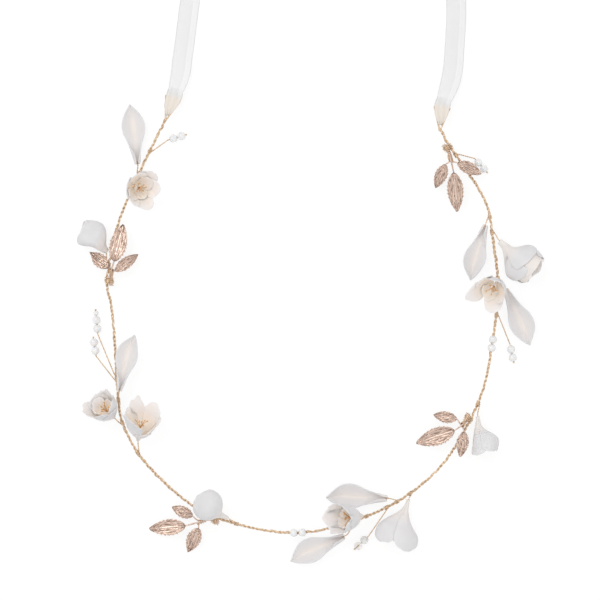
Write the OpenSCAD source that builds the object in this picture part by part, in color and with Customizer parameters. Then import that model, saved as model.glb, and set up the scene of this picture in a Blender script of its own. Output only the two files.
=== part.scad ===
// Flower crown: a twisted gold wire with white flowers, white leaves, embossed gold leaves and beads
// bound on it, and a ribbon tie at each end. It lies on a table, the plane z = 0. +Y points to the
// back of the head, where the ribbons are tied. All sizes are in millimetres.

/* [Crown] */
// Width of the crown, between the two sides of its main wire
crown_w = 188; // [180:1:196]
// Depth of the crown, from the front of its main wire to the left end loop
crown_d = 199.5; // [191:0.5:208]

/* [Main wire] */
// Diameter of the twisted main wire
vine_d = 1.4; // [1.2:0.05:1.7]
// Height of the main wire's middle above the table
vine_h = 5; // [5:0.1:6]
// Gap between two lengths of the main wire, where it bends to fit the head
bend_gap = 0.5; // [0.4:0.05:0.8]
// Diameter of the single wire in the end loops
loop_wire_d = 0.9; // [0.7:0.05:1]
// Width of the end loops, along their bar
loop_w = 7; // [6.5:0.1:8]
// Length of the end loops, from the main wire to the bar
loop_l = 9.5; // [9:0.1:9.8]

/* [Stems] */
// Diameter of the stem wire
stem_d = 0.8; // [0.6:0.05:0.9]
// Length of each stem's wrap along the main wire
wrap_l = 2.4; // [1.8:0.1:2.8]
// Thickness of the wrap
wrap_wall = 0.5; // [0.4:0.05:0.6]
// Play between the main wire and what turns on it
turn_play = 0.1; // [0.08:0.01:0.14]

/* [White flowers] */
// Length of the longest flower
flower_l = 22.5; // [21:0.5:24]
// Petals of a flower
petals = 5; // [4:1:6]
// Thickness of a petal
petal_wall = 0.7; // [0.5:0.05:0.9]
// Play between a stem and the neck of its flower
neck_play = 0.1; // [0.05:0.01:0.15]
// Stamens in a flower
stamens = 6; // [4:1:7]
// Length of a stamen
stamen_l = 5; // [4:0.5:6]
// Diameter of a stamen's wire
stamen_d = 0.35; // [0.3:0.05:0.4]
// Diameter of a stamen's tip
stamen_tip_d = 0.9; // [0.7:0.05:1.2]
// Angle of the stamens to the flower's middle line
stamen_angle = 22; // [20:1:30]

/* [White leaves] */
// Length of the longest white leaf
leaf_l = 29.5; // [28:0.5:31]
// Thickness of a white leaf
leaf_wall = 1; // [0.6:0.1:1.4]
// Width of a white leaf at its stem
leaf_neck_w = 1.8; // [1.2:0.1:2]
// Rise of a white leaf's edges for each millimetre from its midline
leaf_fold = 0.35; // [0.2:0.05:0.5]

/* [Gold leaves] */
// Length of the longest gold leaf
gold_l = 19.85; // [19:0.05:21]
// Thickness of a gold leaf
gold_wall = 0.6; // [0.4:0.05:0.8]
// Diameter of a gold leaf's stalk
stalk_d = 0.8; // [0.6:0.05:0.9]
// Depth of the teeth along a gold leaf's edge, as a share of its half width
tooth_depth = 0.16; // [0.05:0.01:0.25]
// Teeth along each edge of a gold leaf
teeth = 6; // [4:1:7]
// Diameter of the wire that binds the stalks to the main wire
binding_d = 0.5; // [0.4:0.05:0.6]
// Turns of each binding
binding_turns = 4; // [3:1:5]
// Free space between two turns of a binding
binding_space = 0.45; // [0.42:0.01:0.6]

/* [Beads] */
// Distance of the farthest sprig's first bead from the main wire
sprig_l = 25.3; // [24:0.1:26.5]
// Diameter of a bead
bead_d = 4; // [3.4:0.1:4.2]
// Diameter of the small bead at the end of the forked sprig
small_bead_d = 2.6; // [2:0.1:3.4]
// Space between two beads
bead_space = 0.1; // [0.05:0.05:0.3]
// Play between the main wire and the beads threaded on it
bead_play = 0.25; // [0.2:0.01:0.35]

/* [Ribbons] */
// Depth of the longer ribbon's run, from the end loop's bar to the roll
ribbon_run = 86; // [80:0.5:92]
// Width of the ribbons
ribbon_w = 9.5; // [8:0.5:10]
// Thickness of the ribbons
ribbon_t = 0.3; // [0.2:0.05:0.4]
// Outer radius of a rolled ribbon
roll_r = 25; // [22:0.5:27]
// Distance from one turn of a rolled ribbon to the next
roll_pitch = 4.2; // [4:0.1:4.5]
// Turns of a rolled ribbon
roll_turns = 2.75; // [2.25:0.25:3]
// Thickness of the band round a rolled ribbon
band_t = 0.3; // [0.2:0.05:0.4]
// Width of the band round a rolled ribbon
band_w = 4; // [3:0.5:6]

/* [Hidden] */
$fn = 40;
gold = [0.86, 0.68, 0.5];
rose_gold = [0.78, 0.64, 0.56];
white = [0.93, 0.93, 0.94];
milk = [0.95, 0.95, 0.93];
ivory = [0.94, 0.93, 0.9];

// Middle line of the main wire as drawn, from the left end loop round the front to the right one
drawn_line = [
    [-69, 102], [-82, 75.5], [-92.5, 50], [-97.5, 24.5], [-95.5, 11.5], [-94, -4], [-92, -35],
    [-89, -47.5], [-79, -64], [-57, -84], [-34.5, -93.5], [-8, -97.5], [16, -93.5], [42, -82.5],
    [62, -66.5], [75, -47], [83.5, -27.5], [88, -4], [90.5, 20], [88, 43], [85, 60], [76.5, 75],
    [67, 88.5], [62.5, 97]
];
// The main wire's points at the crown's width and depth
function extent(values) = max(values) - min(values);
wide = crown_w / extent([for (p = drawn_line) p.x]);
deep = crown_d / extent([for (p = drawn_line) p.y]);
vine_points = [for (p = drawn_line) [wide * p.x, deep * p.y]];
// Places along the main wire, counted in its points, where the two arms bend
bend_left = 3.76;
bend_right = 16.16;
// Directions of the end loops
loop_turn_left = 71;
loop_turn_right = 84;
vine_sides = 8;
stem_sides = 8;
// Distance at which a stem is seated on its wrap and on its ball of stamens
seat = 0.03;
vine_steps = 6;

vine_r = vine_d / 2;
bore_r = vine_r + turn_play;
wrap_r = bore_r + wrap_wall;
neck_bore_r = stem_d / 2 + neck_play;
neck_r = neck_bore_r + petal_wall;

// Points in these tables are drawn beside the drawn line. The pieces are carried along with the main
// wire, and their sizes and distances from it follow the longest of their kind.
// Place on the main wire, neck [x, y, rise over the wire], turn, tilt, length, cup radius, mouth radius,
// share of the length in the neck, depth of the notches, spin of the petals, straight end of the stem
drawn_flowers = [
    [1.25, [-84.5, 69, 2.9], -20, 62, 14, 7, 7.8, 0.06, 0.34, 10, 1.2],
    [2.7, [-98.5, 38.5, 0], 145, 9.5, 13, 6.2, 6, 0.14, 0.22, 30, 0.8],
    [6.77, [-94.3, -42, 1], 133, 35, 13.5, 7, 7.4, 0.08, 0.36, 20, 1.5],
    [7.71, [-82.4, -51.8, 2], 79, 40, 17, 7.6, 9.6, 0.1, 0.46, 0, 3],
    [9.96, [-40.8, -89.5, 3.2], 145, 30, 18, 7, 4.4, 0.12, 0.14, 15, 2],
    [12.42, [24.5, -89.3, 3.2], 185, 38, 16, 6.6, 7, 0.1, 0.3, 36, 1.2],
    [13.27, [47, -82.8, 0.2], -100, 9, 22.5, 7, 8.4, 0.2, 0.28, 12, 1.5],
    [15.62, [80.8, -42.7, 0.2], -78, 6.5, 15.5, 5.6, 6.9, 0.14, 0.26, 24, 2],
    [18.2, [89.3, 23.5, 2.9], -115, 55, 14, 7.4, 8.8, 0.06, 0.4, 0, 0.7],
    [19.21, [92.6, 41.5, 0.2], -37, 9, 19.5, 7, 7.7, 0.18, 0.3, 18, 2]
];
// Place on the main wire, base [x, y, rise over the wire], turn, tilt, length, half width,
// straight end of the stem
drawn_leaves = [
    [1.02, [-82.8, 79.7, 0], 96.7, -4, 29, 5.6, 1],
    [5.94, [-91.5, -29.3, 3.2], 78, 2, 28, 5.3, 1.4],
    [12.14, [16.5, -99.2, 0], -157.4, -4, 28.5, 6, 2.2],
    [12.99, [37.2, -80.9, 0], 176.7, -6, 29.5, 6, 1.6],
    [19.64, [84.3, 50.5, 0], -107.5, -4, 27.5, 5.3, 1],
    [18.05, [93.8, 19.6, 0], -64, -5, 29.5, 6, 1.2]
];
// Place of the binding on the main wire, side of the wire, way along the wire to the leaves,
// junction, and then for each leaf its base, tip and half width, with all points as
// [x, y, rise over the wire]
drawn_sprays = [
    [3.05, 1, -1, [-95.4, 28.9, 2.2], [
        [[-97.6, 30.4, 3], [-105.2, 37, -2.6], 3.4],
        [[-94, 33, 3.4], [-89.6, 50.7, 2.4], 4.3],
        [[-92.4, 28.8, 2], [-82.6, 36.5, -0.6], 2.9]]],
    [9.54, -1, -1, [-53.2, -92.3, 0], [
        [[-53.6, -95.4, -1], [-58.6, -106.6, -3], 3.6],
        [[-59.8, -94.1, 0.4], [-77.4, -95.8, -2.8], 4.1],
        [[-56.4, -89.6, -0.8], [-66.5, -85.1, -2], 2.9]]],
    [15.21, 1, -1, [73.2, -45.6, 1.8], [
        [[74, -49, 2.8], [72.2, -60.8, 2.2], 3.1],
        [[69.4, -48.2, 2.4], [51.1, -54.5, -2], 4.5],
        [[70.6, -42.8, 1], [59.2, -40.9, -2], 2.9]]],
    [21.98, 1, -1, [67.6, 81.4, 2.2], [
        [[71, 80.2, 2.8], [82.1, 74.9, 2.2], 3.1],
        [[69, 75.6, 2.6], [70.8, 56.8, -1.6], 4.1],
        [[65.2, 79.6, 1.6], [60.3, 68.2, -1.6], 3.1]]]
];
// Place on the main wire, then for each stem the middle of its first bead [x, y], the turn of the
// bead row and the bead sizes
drawn_sprigs = [
    [0.64, [[[-65.8, 92.2], 16, [bead_d, bead_d]]]],
    [5.59, [[[-102.4, 0.6], 95, [bead_d, bead_d, small_bead_d]], [[-103.4, -10], 98, [bead_d, bead_d]]]],
    [12.78, [[[26.2, -101.2], 223, [bead_d, bead_d]]]],
    [17.47, [[[96.8, -9.4], -78, [bead_d, bead_d]]]],
    [21.64, [[[81, 80.6], -48, [bead_d, bead_d]]]]
];
// The pieces at their sizes, carried along with the main wire
flower_share = flower_l / max([for (f = drawn_flowers) f[4]]);
flowers = [for (f = drawn_flowers)
    let (size = flower_share)
    [f[0], carried(f[0], f[1], size), f[2], f[3], size * f[4], size * f[5], size * f[6], f[7], f[8], f[9],
        size * f[10]]];
leaf_share = leaf_l / max([for (l = drawn_leaves) l[4]]);
white_leaves = [for (l = drawn_leaves)
    let (size = leaf_share)
    [l[0], carried(l[0], l[1], size), l[2], l[3], size * l[4], size * l[5], size * l[6]]];
gold_share = gold_l / max([for (g = drawn_sprays, leaf = g[4]) norm(leaf[1] - leaf[0])]);
gold_sprays = [for (g = drawn_sprays)
    [g[0], g[1], g[2], carried(g[0], g[3], gold_share), [for (leaf = g[4])
        [carried(g[0], leaf[0], gold_share), carried(g[0], leaf[1], gold_share), gold_share * leaf[2]]]]];
sprig_share = sprig_l / max([for (s = drawn_sprigs, row = s[1]) norm(row[0] - curve_at(drawn_line, s[0]))]);
sprigs = [for (s = drawn_sprigs)
    [s[0], [for (row = s[1]) [carried(s[0], at_height(row[0], 0), sprig_share), row[1], row[2]]]]];
// Places of the bead pairs on the main wire
front_beads = 11.09;
right_beads = 16.89;

// Heights of the ribbons' middles: over and under the end loop, at the seam, on the table and, in
// between, at a share of the drop from the seam or at an angle on the way up to the standing roll
loop_play = 0.1;
ribbon_lift = 0.15;
roll_lift = band_t + loop_play;
over_loop = vine_h + loop_wire_d / 2 + loop_play + ribbon_t / 2;
under_loop = vine_h - loop_wire_d / 2 - loop_play - ribbon_t / 2;
seam_top = vine_h + ribbon_t / 2;
seam_low = vine_h - ribbon_t / 2;
on_table = ribbon_lift + ribbon_t / 2;
function drop(s) = mix(seam_top, on_table, s);
function raised(roll) =
    mix(ribbon_lift, roll_lift, roll / 90) + ribbon_w / 2 * sin(roll) + ribbon_t / 2 * cos(roll);
// Routes of the ribbons: [x, y, z, share of the width, roll], from the end loop to the roll
drawn_left_route = [
    [-68.5, 103, over_loop, 0.23, 0], [-67.5, 106.5, over_loop, 0.44, 0],
    [-65.5, 111.5, over_loop, 0.63, 0], [-65, 113.5, seam_top, 0.7, 0], [-64, 116.5, seam_top, 0.82, 0],
    [-63, 120, drop(0.2), 0.93, 0], [-62, 125, drop(0.57), 1, 0], [-61.5, 130, drop(0.86), 1, 0],
    [-60.5, 137, on_table, 1, 0], [-59.5, 145, on_table, 1, 0], [-58.5, 153, on_table, 1, 0],
    [-57.5, 161, on_table, 1, 0], [-57, 169, raised(20), 1, 20], [-57, 177, raised(45), 1, 45],
    [-57, 185, raised(70), 1, 70], [-57, 193, raised(90), 1, 90]
];
drawn_right_route = [
    [62.5, 98.5, over_loop, 0.23, 0], [63, 102, over_loop, 0.44, 0],
    [63.5, 107, over_loop, 0.63, 0], [64, 109, seam_top, 0.7, 0], [65, 112, seam_top, 0.82, 0],
    [66.5, 116, drop(0.2), 0.93, 0], [68, 121, drop(0.57), 1, 0], [69, 126.5, drop(0.86), 1, 0],
    [69.5, 133, on_table, 1, 0], [70, 141, on_table, 1, 0], [70.5, 150, on_table, 1, 0],
    [70.5, 160, on_table, 1, 0], [70.5, 169, raised(20), 1, 20], [70, 177, raised(45), 1, 45],
    [70, 185, raised(70), 1, 70], [70, 193, raised(90), 1, 90]
];
// Routes of the ribbons' sewn-back ends, under the end loops
drawn_left_tail = [
    [-68.4, 103.4, under_loop, 0.25, 0], [-65.5, 111.5, under_loop, 0.63, 0],
    [-65, 113.5, seam_low, 0.67, 0], [-64.2, 116, seam_low, 0.74, 0]
];
drawn_right_tail = [
    [62.5, 98.9, under_loop, 0.25, 0], [63.5, 107, under_loop, 0.63, 0],
    [64, 109, seam_low, 0.67, 0], [64.8, 111.5, seam_low, 0.74, 0]
];
// The routes are carried along with the end loops: as far as the bar they follow the loops' length,
// and from there on the ribbons' run
left_bar = [-65.5, 111.5];
right_bar = [63.5, 107];
drawn_loop_l = 9.5;
loop_share = loop_l / drawn_loop_l;
run_share = ribbon_run / (drawn_right_route[len(drawn_right_route) - 1].y - right_bar.y);
function route_place(p, bar, drawn_tip, tip) =
    tip + (p.y <= bar.y ? loop_share * (p - drawn_tip)
        : loop_share * (bar - drawn_tip) + run_share * (p - bar));
function carried_route(route, bar, i) =
    [for (p = route)
        let (q = route_place([p.x, p.y], bar, drawn_line[i], vine_points[i]))
        [q.x, q.y, p[2], p[3], p[4]]];
left_route = carried_route(drawn_left_route, left_bar, 0);
left_tail = carried_route(drawn_left_tail, left_bar, 0);
right_route = carried_route(drawn_right_route, right_bar, len(drawn_line) - 1);
right_tail = carried_route(drawn_right_tail, right_bar, len(drawn_line) - 1);

function numbered(name, count) = [for (i = [1:count]) str(name, i)];

// Directions and curves
function unit(v) = v / norm(v);
function aim(turn, tilt) = [cos(tilt) * cos(turn), cos(tilt) * sin(turn), sin(tilt)];
function left_of(d) = unit([-d.y, d.x, 0]);
function at_height(p, z) = [p.x, p.y, z];
function mix(a, b, s) = a + (b - a) * s;

// A smooth curve through points, at place t counted in points, and its direction there
function curve_corners(points, i) =
    [points[max(i - 1, 0)], points[i], points[i + 1], points[min(i + 2, len(points) - 1)]];
function curve_at(points, t) =
    let (i = min(floor(t), len(points) - 2), u = t - i, c = curve_corners(points, i))
    c[1] + 0.5 * u * (c[2] - c[0] + u * (2 * c[0] - 5 * c[1] + 4 * c[2] - c[3]
        + u * (3 * (c[1] - c[2]) + c[3] - c[0])));
function curve_dir(points, t) =
    let (step = 0.01, last = len(points) - 1)
    unit(curve_at(points, min(t + step, last)) - curve_at(points, max(t - step, 0)));
function vine_at(t) = at_height(curve_at(vine_points, t), vine_h);
function vine_dir(t) = at_height(curve_dir(vine_points, t), 0);
// A drawn point [x, y, rise over the wire], carried along with place t of the main wire
function carried(t, p, share) = vine_at(t) + share * (p - at_height(curve_at(drawn_line, t), 0));
// Points of the main wire, from one place on it to another
function vine_run(from, to) =
    let (count = ceil((to - from) * vine_steps))
    [for (i = [0:count]) vine_at(mix(from, to, i / count))];

// Direction of a line of points at point i
function run_dir(points, i) =
    unit(points[min(i + 1, len(points) - 1)] - points[max(i - 1, 0)]);

// Rings of points round a line: a round wire, a flat blade and a flat ribbon
function wire_ring(p, d, r, sides) =
    let (n = left_of(d), up = cross(d, n))
    [for (k = [0:sides - 1]) p + r * (cos(360 * k / sides) * n + sin(360 * k / sides) * up)];
function blade_ring(p, d, half_w, half_t, fold, sides) =
    let (n = left_of(d), up = cross(d, n))
    [for (k = [0:sides - 1])
        let (across = half_w * cos(360 * k / sides))
        p + across * n + (half_t * sin(360 * k / sides) + fold * abs(across)) * up];
function ribbon_ring(p, d, width, thick, roll) =
    let (n0 = left_of(d), up0 = cross(d, n0))
    let (n = cos(roll) * n0 + sin(roll) * up0, up = cos(roll) * up0 - sin(roll) * n0)
    [for (corner = [[1, 1], [-1, 1], [-1, -1], [1, -1]])
        p + corner.x * width / 2 * n + corner.y * thick / 2 * up];

// Triangles between neighbouring rings, and over the two ends
function side_faces(rings, sides, closed) =
    [for (i = [0:rings - (closed ? 1 : 2)], k = [0:sides - 1])
        let (a = i * sides, b = (i + 1) % rings * sides, next = (k + 1) % sides)
        each [[a + k, b + next, a + next], [a + k, b + k, b + next]]];
function end_faces(rings, sides) =
    let (last = (rings - 1) * sides)
    [for (k = [1:sides - 2]) each [[0, k, k + 1], [last, last + k + 1, last + k]]];

module skin(rings, closed = false) {
    sides = len(rings[0]);
    faces = side_faces(len(rings), sides, closed);
    polyhedron([for (ring = rings) each ring],
        closed ? faces : concat(faces, end_faces(len(rings), sides)));
}

// A round wire through points, with a radius for each point
module tube(points, radii) {
    skin([for (i = [0:len(points) - 1]) wire_ring(points[i], run_dir(points, i), radii[i], stem_sides)]);
}

// A stem through three points, with its elbow rounded inside its straight end
function stem_line(from, elbow, to, straight) =
    let (share = 0.7, reach = share * min(norm(elbow - from), straight))
    concat([from], rounded_corner(from, elbow, to, reach), [to]);

module stem(from, elbow, to, straight) {
    line = stem_line(from, elbow, to, straight);
    tube(line, [for (p = line) stem_d / 2]);
}

// The least gap of a wound wire or ribbon to itself, between points at least a skip apart
function least_gap(points, skip, thick) =
    min([for (i = [0:len(points) - 1], j = [i + skip:1:len(points) - 1])
        norm(points[i] - points[j])]) - thick;

// Main wire with its end loops
function loop_corner(tip, turn, side) =
    let (d = aim(turn, 0))
    tip + loop_l * d + side * loop_w / 2 * left_of(d);
function rounded_corner(before, corner, after, reach) =
    let (ease = 0.3)
    let (a = unit(before - corner) * reach, b = unit(after - corner) * reach)
    [corner + a, corner + (a + b) * ease, corner + b];
// The loop's wire comes back almost to the main wire
function loop_run(tip, turn) =
    let (back = 0.22, reach = 1.2)
    let (a = loop_corner(tip, turn, 1), b = loop_corner(tip, turn, -1))
    concat([mix(tip, a, back)], rounded_corner(tip, a, b, reach), rounded_corner(a, b, tip, reach),
        [mix(tip, b, back)]);

module vine(main, loop = []) {
    run = concat(main, loop);
    color(gold)
        skin([for (i = [0:len(run) - 1])
            wire_ring(run[i], run_dir(run, i), i < len(main) - 1 ? vine_r : loop_wire_d / 2, vine_sides)]);
}

function bend_step(t) = bend_gap / 2 / norm(curve_at(vine_points, t + 0.5) - curve_at(vine_points, t - 0.5));
function reversed(list) = [for (i = [len(list) - 1:-1:0]) list[i]];
vine_end = len(vine_points) - 1;

module vine_left() {
    main = reversed(vine_run(0, bend_left - bend_step(bend_left)));
    vine(main, loop_run(vine_at(0), loop_turn_left));
}

module vine_front() {
    vine(vine_run(bend_left + bend_step(bend_left), bend_right - bend_step(bend_right)));
}

module vine_right() {
    main = vine_run(bend_right + bend_step(bend_right), vine_end);
    vine(main, loop_run(vine_at(vine_end), loop_turn_right));
}

// The wrap of a stem round the main wire
module wrap(t, length = wrap_l) {
    on_axis(t) difference() {
        cylinder(h = length, r = wrap_r, center = true);
        cylinder(h = 2 * length, r = bore_r, center = true);
    }
}

module on_axis(t) {
    d = vine_dir(t);
    translate(vine_at(t)) rotate([0, 90, atan2(d.y, d.x)]) children();
}

// Where a stem that runs to a point starts, seated on its wrap and shifted along it
function stem_start(t, to, shift = 0) =
    let (d = vine_dir(t), w = to - vine_at(t), out = unit(w - (w * d) * d))
    vine_at(t) + shift * d + (wrap_r + seat + stem_d / 2) * out;

// The way that a sprig turns on the main wire to lift its head
function lift_axis(t, head) =
    let (d = vine_dir(t), w = head - vine_at(t))
    d.x * w.y - d.y * w.x > 0 ? d : -d;

// White flowers: a cup of petals on its own wire, which carries the stamens
function cup_radius(s, body, mouth, share) =
    let (full = 0.6, neck_growth = 1.25, swell = 0.9, flare = 1.6, q = (s - share) / (1 - share))
    s <= share ? neck_r * mix(1, neck_growth, s / share)
    : q < full ? mix(neck_r * neck_growth, body, pow(sin(90 * q / full), swell))
    : mix(body, mouth, pow((q - full) / (1 - full), flare));
petal_columns = 4;
cup_steps = [0, 0.12, 0.27, 0.45, 0.64, 0.83, 1];
function petal_edge(column) =
    let (f = column % petal_columns / petal_columns)
    sqrt(1 - pow(2 * f - 1, 2));
function cup_ring(s, radius, length, notch) =
    let (pinch = 0.08, columns = petals * petal_columns)
    [for (k = [0:columns - 1])
        let (low = (1 - petal_edge(k)) * s, r = radius * (1 - pinch * low), a = 360 * k / columns)
        [r * cos(a), r * sin(a), length * (s - notch * low * s)]];
function cup_rings(f) = concat(
    [for (s = cup_steps) cup_ring(s, cup_radius(s, f[5], f[6], f[7]), f[4], f[8])],
    [for (s = reversed(cup_steps))
        cup_ring(s, max(neck_bore_r, cup_radius(s, f[5], f[6], f[7]) - petal_wall), f[4], f[8])]
);
function flower_dir(f) = aim(f[2], f[3]);
function stamen_root(f) =
    let (depth = 0.22)
    f[1] + f[4] * (f[7] + depth) * flower_dir(f);

module facing(f) {
    rotate([0, 90 - f[3], f[2]]) rotate([0, 0, f[9]]) children();
}

module flower(f) {
    color(white) translate(f[1]) facing(f) skin(cup_rings(f), closed = true);
}

// The ball that the stamens stand on is large enough to keep them apart
stamen_foot = 1.1 * stamen_d / (2 * sin(180 / stamens) * sin(stamen_angle));
stamen_ball_r = 1.16 * stamen_foot;

module flower_wire(f) {
    elbow = f[1] - f[10] * flower_dir(f);
    root = stamen_root(f);
    color(gold) {
        wrap(f[0]);
        stem(stem_start(f[0], elbow), elbow, root - (stamen_ball_r + seat) * flower_dir(f), f[10]);
        translate(root) sphere(r = stamen_ball_r);
        translate(root) facing(f)
            for (i = [1:stamens]) rotate([0, stamen_angle, 360 * i / stamens]) {
                translate([0, 0, stamen_foot]) cylinder(h = stamen_l - stamen_foot, d = stamen_d);
                translate([0, 0, stamen_l]) sphere(d = stamen_tip_d);
            }
    }
}

// White leaves: a pointed blade with its edges raised, on its own wire
leaf_rings = 11;
leaf_sides = 10;
function leaf_half_width(u, widest) =
    let (tip_w = 0.25, towards_tip = 1.45, point = 1.25)
    max(mix(leaf_neck_w / 2, tip_w, u), widest * pow(sin(180 * pow(u, towards_tip)), point));

module white_leaf(l) {
    color(white) translate(l[1]) rotate([0, -l[3], l[2]])
        skin([for (i = [0:leaf_rings - 1])
            let (u = i / (leaf_rings - 1), half_w = leaf_half_width(u, l[5]))
            let (half_t = min(leaf_wall / 2, half_w), open = min(1, 3 * u * (1 - u)))
            blade_ring([u * l[4], 0, 0], [1, 0, 0], half_w, half_t, leaf_fold * open, leaf_sides)]);
}

module leaf_stem(l) {
    elbow = l[1] - l[6] * aim(l[2], l[3]);
    color(gold) {
        wrap(l[0]);
        stem(stem_start(l[0], elbow), elbow, l[1], l[6]);
    }
}

// Gold leaves: three toothed blades whose stalks lie side by side along the main wire
stalk_play = 0.2;
stalk_over = 0.6;
stalk_spread = (stalk_d + stalk_play) / sqrt(3);
bundle_r = stalk_spread + stalk_d / 2;
bundle_offset = vine_r + bundle_r + stalk_play;
binding_pitch = binding_d + binding_space;
binding_l = binding_turns * binding_pitch;
gold_rings = 2 * teeth;
gold_sides = 8;

// Place of stalk k, counted 0 to 2 across the bundle, in a bundle at p that runs along d
function in_bundle(p, d, k, spread) =
    let (n = left_of(d), up = cross(unit(d), n), a = 210 - 120 * k)
    p + spread * (sin(a) * up - cos(a) * n);
function bundle_point(g, along) =
    let (d = vine_dir(g[0]))
    vine_at(g[0]) + g[1] * bundle_offset * left_of(d) + g[2] * along * d;
function gold_half_width(i, widest) =
    let (tip_w = 0.2, towards_base = 0.8, round = 0.75)
    let (u = i / gold_rings, notch = i % 2 == 0 ? 1 - tooth_depth : 1)
    max(tip_w, widest * notch * pow(sin(180 * pow(u, towards_base)), round));

module gold_leaf(g, k) {
    leaf = g[4][k];
    fold = 0.12;
    fan = 1.4;
    reach = binding_l / 2 + stalk_over;
    ends = [bundle_point(g, -reach), bundle_point(g, reach)];
    run = ends[1] - ends[0];
    fork = g[3];
    stalk = [for (p = ends) in_bundle(p, run, k, stalk_spread)];
    line = concat(stalk, [in_bundle(fork, fork - ends[1], k, fan * stalk_spread)],
        [for (i = [0:gold_rings]) mix(leaf[0], leaf[1], i / gold_rings)]);
    blade = len(stalk) + 1;
    skin([for (i = [0:len(line) - 1])
        let (on_stalk = i <= blade, half_w = gold_half_width(i - blade, leaf[2]))
        blade_ring(line[i], run_dir(line, i), on_stalk ? stalk_d / 2 : half_w,
            on_stalk ? stalk_d / 2 : min(gold_wall / 2, half_w), on_stalk ? 0 : fold, gold_sides)]);
}

module gold_leaves(g) {
    color(rose_gold) for (k = [0:2]) gold_leaf(g, k);
}

// Binding wire: an oval helix round the stalks and the main wire
binding_rings = 8;
binding_sides = 6;
binding_play = 0.3;
function binding_line(g) =
    let (d = vine_dir(g[0]), n = g[1] * left_of(d), grow = binding_d / 2 + binding_play)
    let (wide = (vine_r + bundle_offset + bundle_r) / 2 + grow, high = bundle_r + grow)
    let (middle = vine_at(g[0]) + (bundle_offset + bundle_r - vine_r) / 2 * n)
    [for (i = [0:binding_turns * binding_rings])
        let (a = 360 * i / binding_rings, along = binding_l * (i / binding_turns / binding_rings - 0.5))
        middle + along * d + wide * cos(a) * n + [0, 0, high * sin(a)]];
function helix_ring(points, i, axis, r, sides) =
    let (d = run_dir(points, i), n = unit(cross(axis, d)), up = cross(d, n))
    [for (k = [0:sides - 1]) points[i] + r * (cos(360 * k / sides) * n + sin(360 * k / sides) * up)];

module binding(g) {
    line = binding_line(g);
    color(gold)
        skin([for (i = [0:len(line) - 1])
            helix_ring(line, i, vine_dir(g[0]), binding_d / 2, binding_sides)]);
}

// Bead sprigs: beads threaded on the end of a stem
function bead_places(row) = [for (i = 0, s = 0; i < len(row[2]);
    s = s + (row[2][i] + (i + 1 < len(row[2]) ? row[2][i + 1] : 0)) / 2 + bead_space, i = i + 1) s];
function bead_middle(row) = at_height(row[0], bead_d / 2);
function row_end(row) =
    let (places = bead_places(row), last = len(places) - 1)
    places[last] + row[2][last] / 2;

module drilled_bead(d, hole_d) {
    difference() {
        sphere(d = d);
        cylinder(h = 2 * d, d = hole_d, center = true);
    }
}

module sprig_beads(s) {
    color(milk)
        for (row = s[1], i = [0:len(row[2]) - 1])
            translate(bead_middle(row) + bead_places(row)[i] * aim(row[1], 0)) rotate([0, 90, row[1]])
                drilled_bead(row[2][i], stem_d + 2 * neck_play);
}

module sprig_wire(s) {
    knot_r = 0.65 * stem_d + neck_play;
    lead = 0.6;
    count = len(s[1]);
    color(gold) {
        wrap(s[0], count * wrap_l);
        for (i = [0:count - 1]) {
            row = s[1][i];
            way = aim(row[1], 0);
            elbow = bead_middle(row) - (bead_d / 2 + lead) * way;
            end = bead_middle(row) + (row_end(row) + bead_space) * way;
            line = stem_line(stem_start(s[0], elbow, wrap_l * (i - (count - 1) / 2)), elbow, end, lead);
            knot = [for (k = [0.3, 1, 1.5]) end + k * knot_r * way];
            tube(concat(line, knot), concat([for (p = line) stem_d / 2], [knot_r, knot_r, stem_d / 2]));
        }
    }
}

module vine_beads(t) {
    color(milk) on_axis(t)
        for (side = [-1, 1])
            translate([0, 0, side * (bead_d + bead_space) / 2]) drilled_bead(bead_d, vine_d + 2 * bead_play);
}

// Ribbons: the free stretch with its sewn-back end, the rolled length and its band
function route_ring(route, i) =
    let (line = [for (p = route) [p.x, p.y, p.z]])
    ribbon_ring(line[i], i == len(route) - 1 ? [0, 1, 0] : run_dir(line, i),
        route[i][3] * ribbon_w, ribbon_t, route[i][4]);

module ribbon(route, tail) {
    color(ivory) for (run = [route, tail])
        skin([for (i = [0:len(run) - 1]) route_ring(run, i)]);
}

// A roll starts with a straight stretch as long as the ribbon is wide and then winds inwards.
// side is 1 for a roll that turns to the left and -1 for one that turns to the right.
roll_rings = 24;
function roll_start(route) = let (p = route[len(route) - 1]) [p.x, p.y, p.z];
function roll_line(route, side) =
    let (start = roll_start(route), centre = start + [-side * roll_r, ribbon_w, 0])
    concat([start], [for (i = [0:roll_turns * roll_rings])
        let (a = 360 * i / roll_rings, r = roll_r - roll_pitch * i / roll_rings)
        centre + r * [side * cos(a), sin(a), 0]]);

module ribbon_roll(route, side) {
    line = roll_line(route, side);
    color(ivory)
        skin([for (i = [0:len(line) - 1])
            ribbon_ring(line[i], i == 0 ? [0, 1, 0] : run_dir(line, i), ribbon_w, ribbon_t, 90)]);
}

// The band holds the turns at the far side of the roll
module ribbon_band(route, side) {
    play = 0.25;
    centre = roll_start(route) + [-side * roll_r, ribbon_w, 0];
    outer = roll_r - roll_pitch / 4 + ribbon_t / 2 + play;
    inner = roll_r - roll_pitch * (floor(roll_turns - 0.25) + 0.25) - ribbon_t / 2 - play;
    top = roll_lift + ribbon_w + play;
    curl = 0.4;
    color(ivory)
        translate([centre.x - band_w / 2, centre.y, 0])
            difference() {
                translate([0, inner - band_t - curl, 0])
                    cube([band_w, outer - inner + 2 * band_t + 2 * curl, top + band_t]);
                translate([-1, inner - curl, band_t])
                    cube([band_w + 2, outer - inner + 2 * curl, top - band_t]);
            }
}

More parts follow.
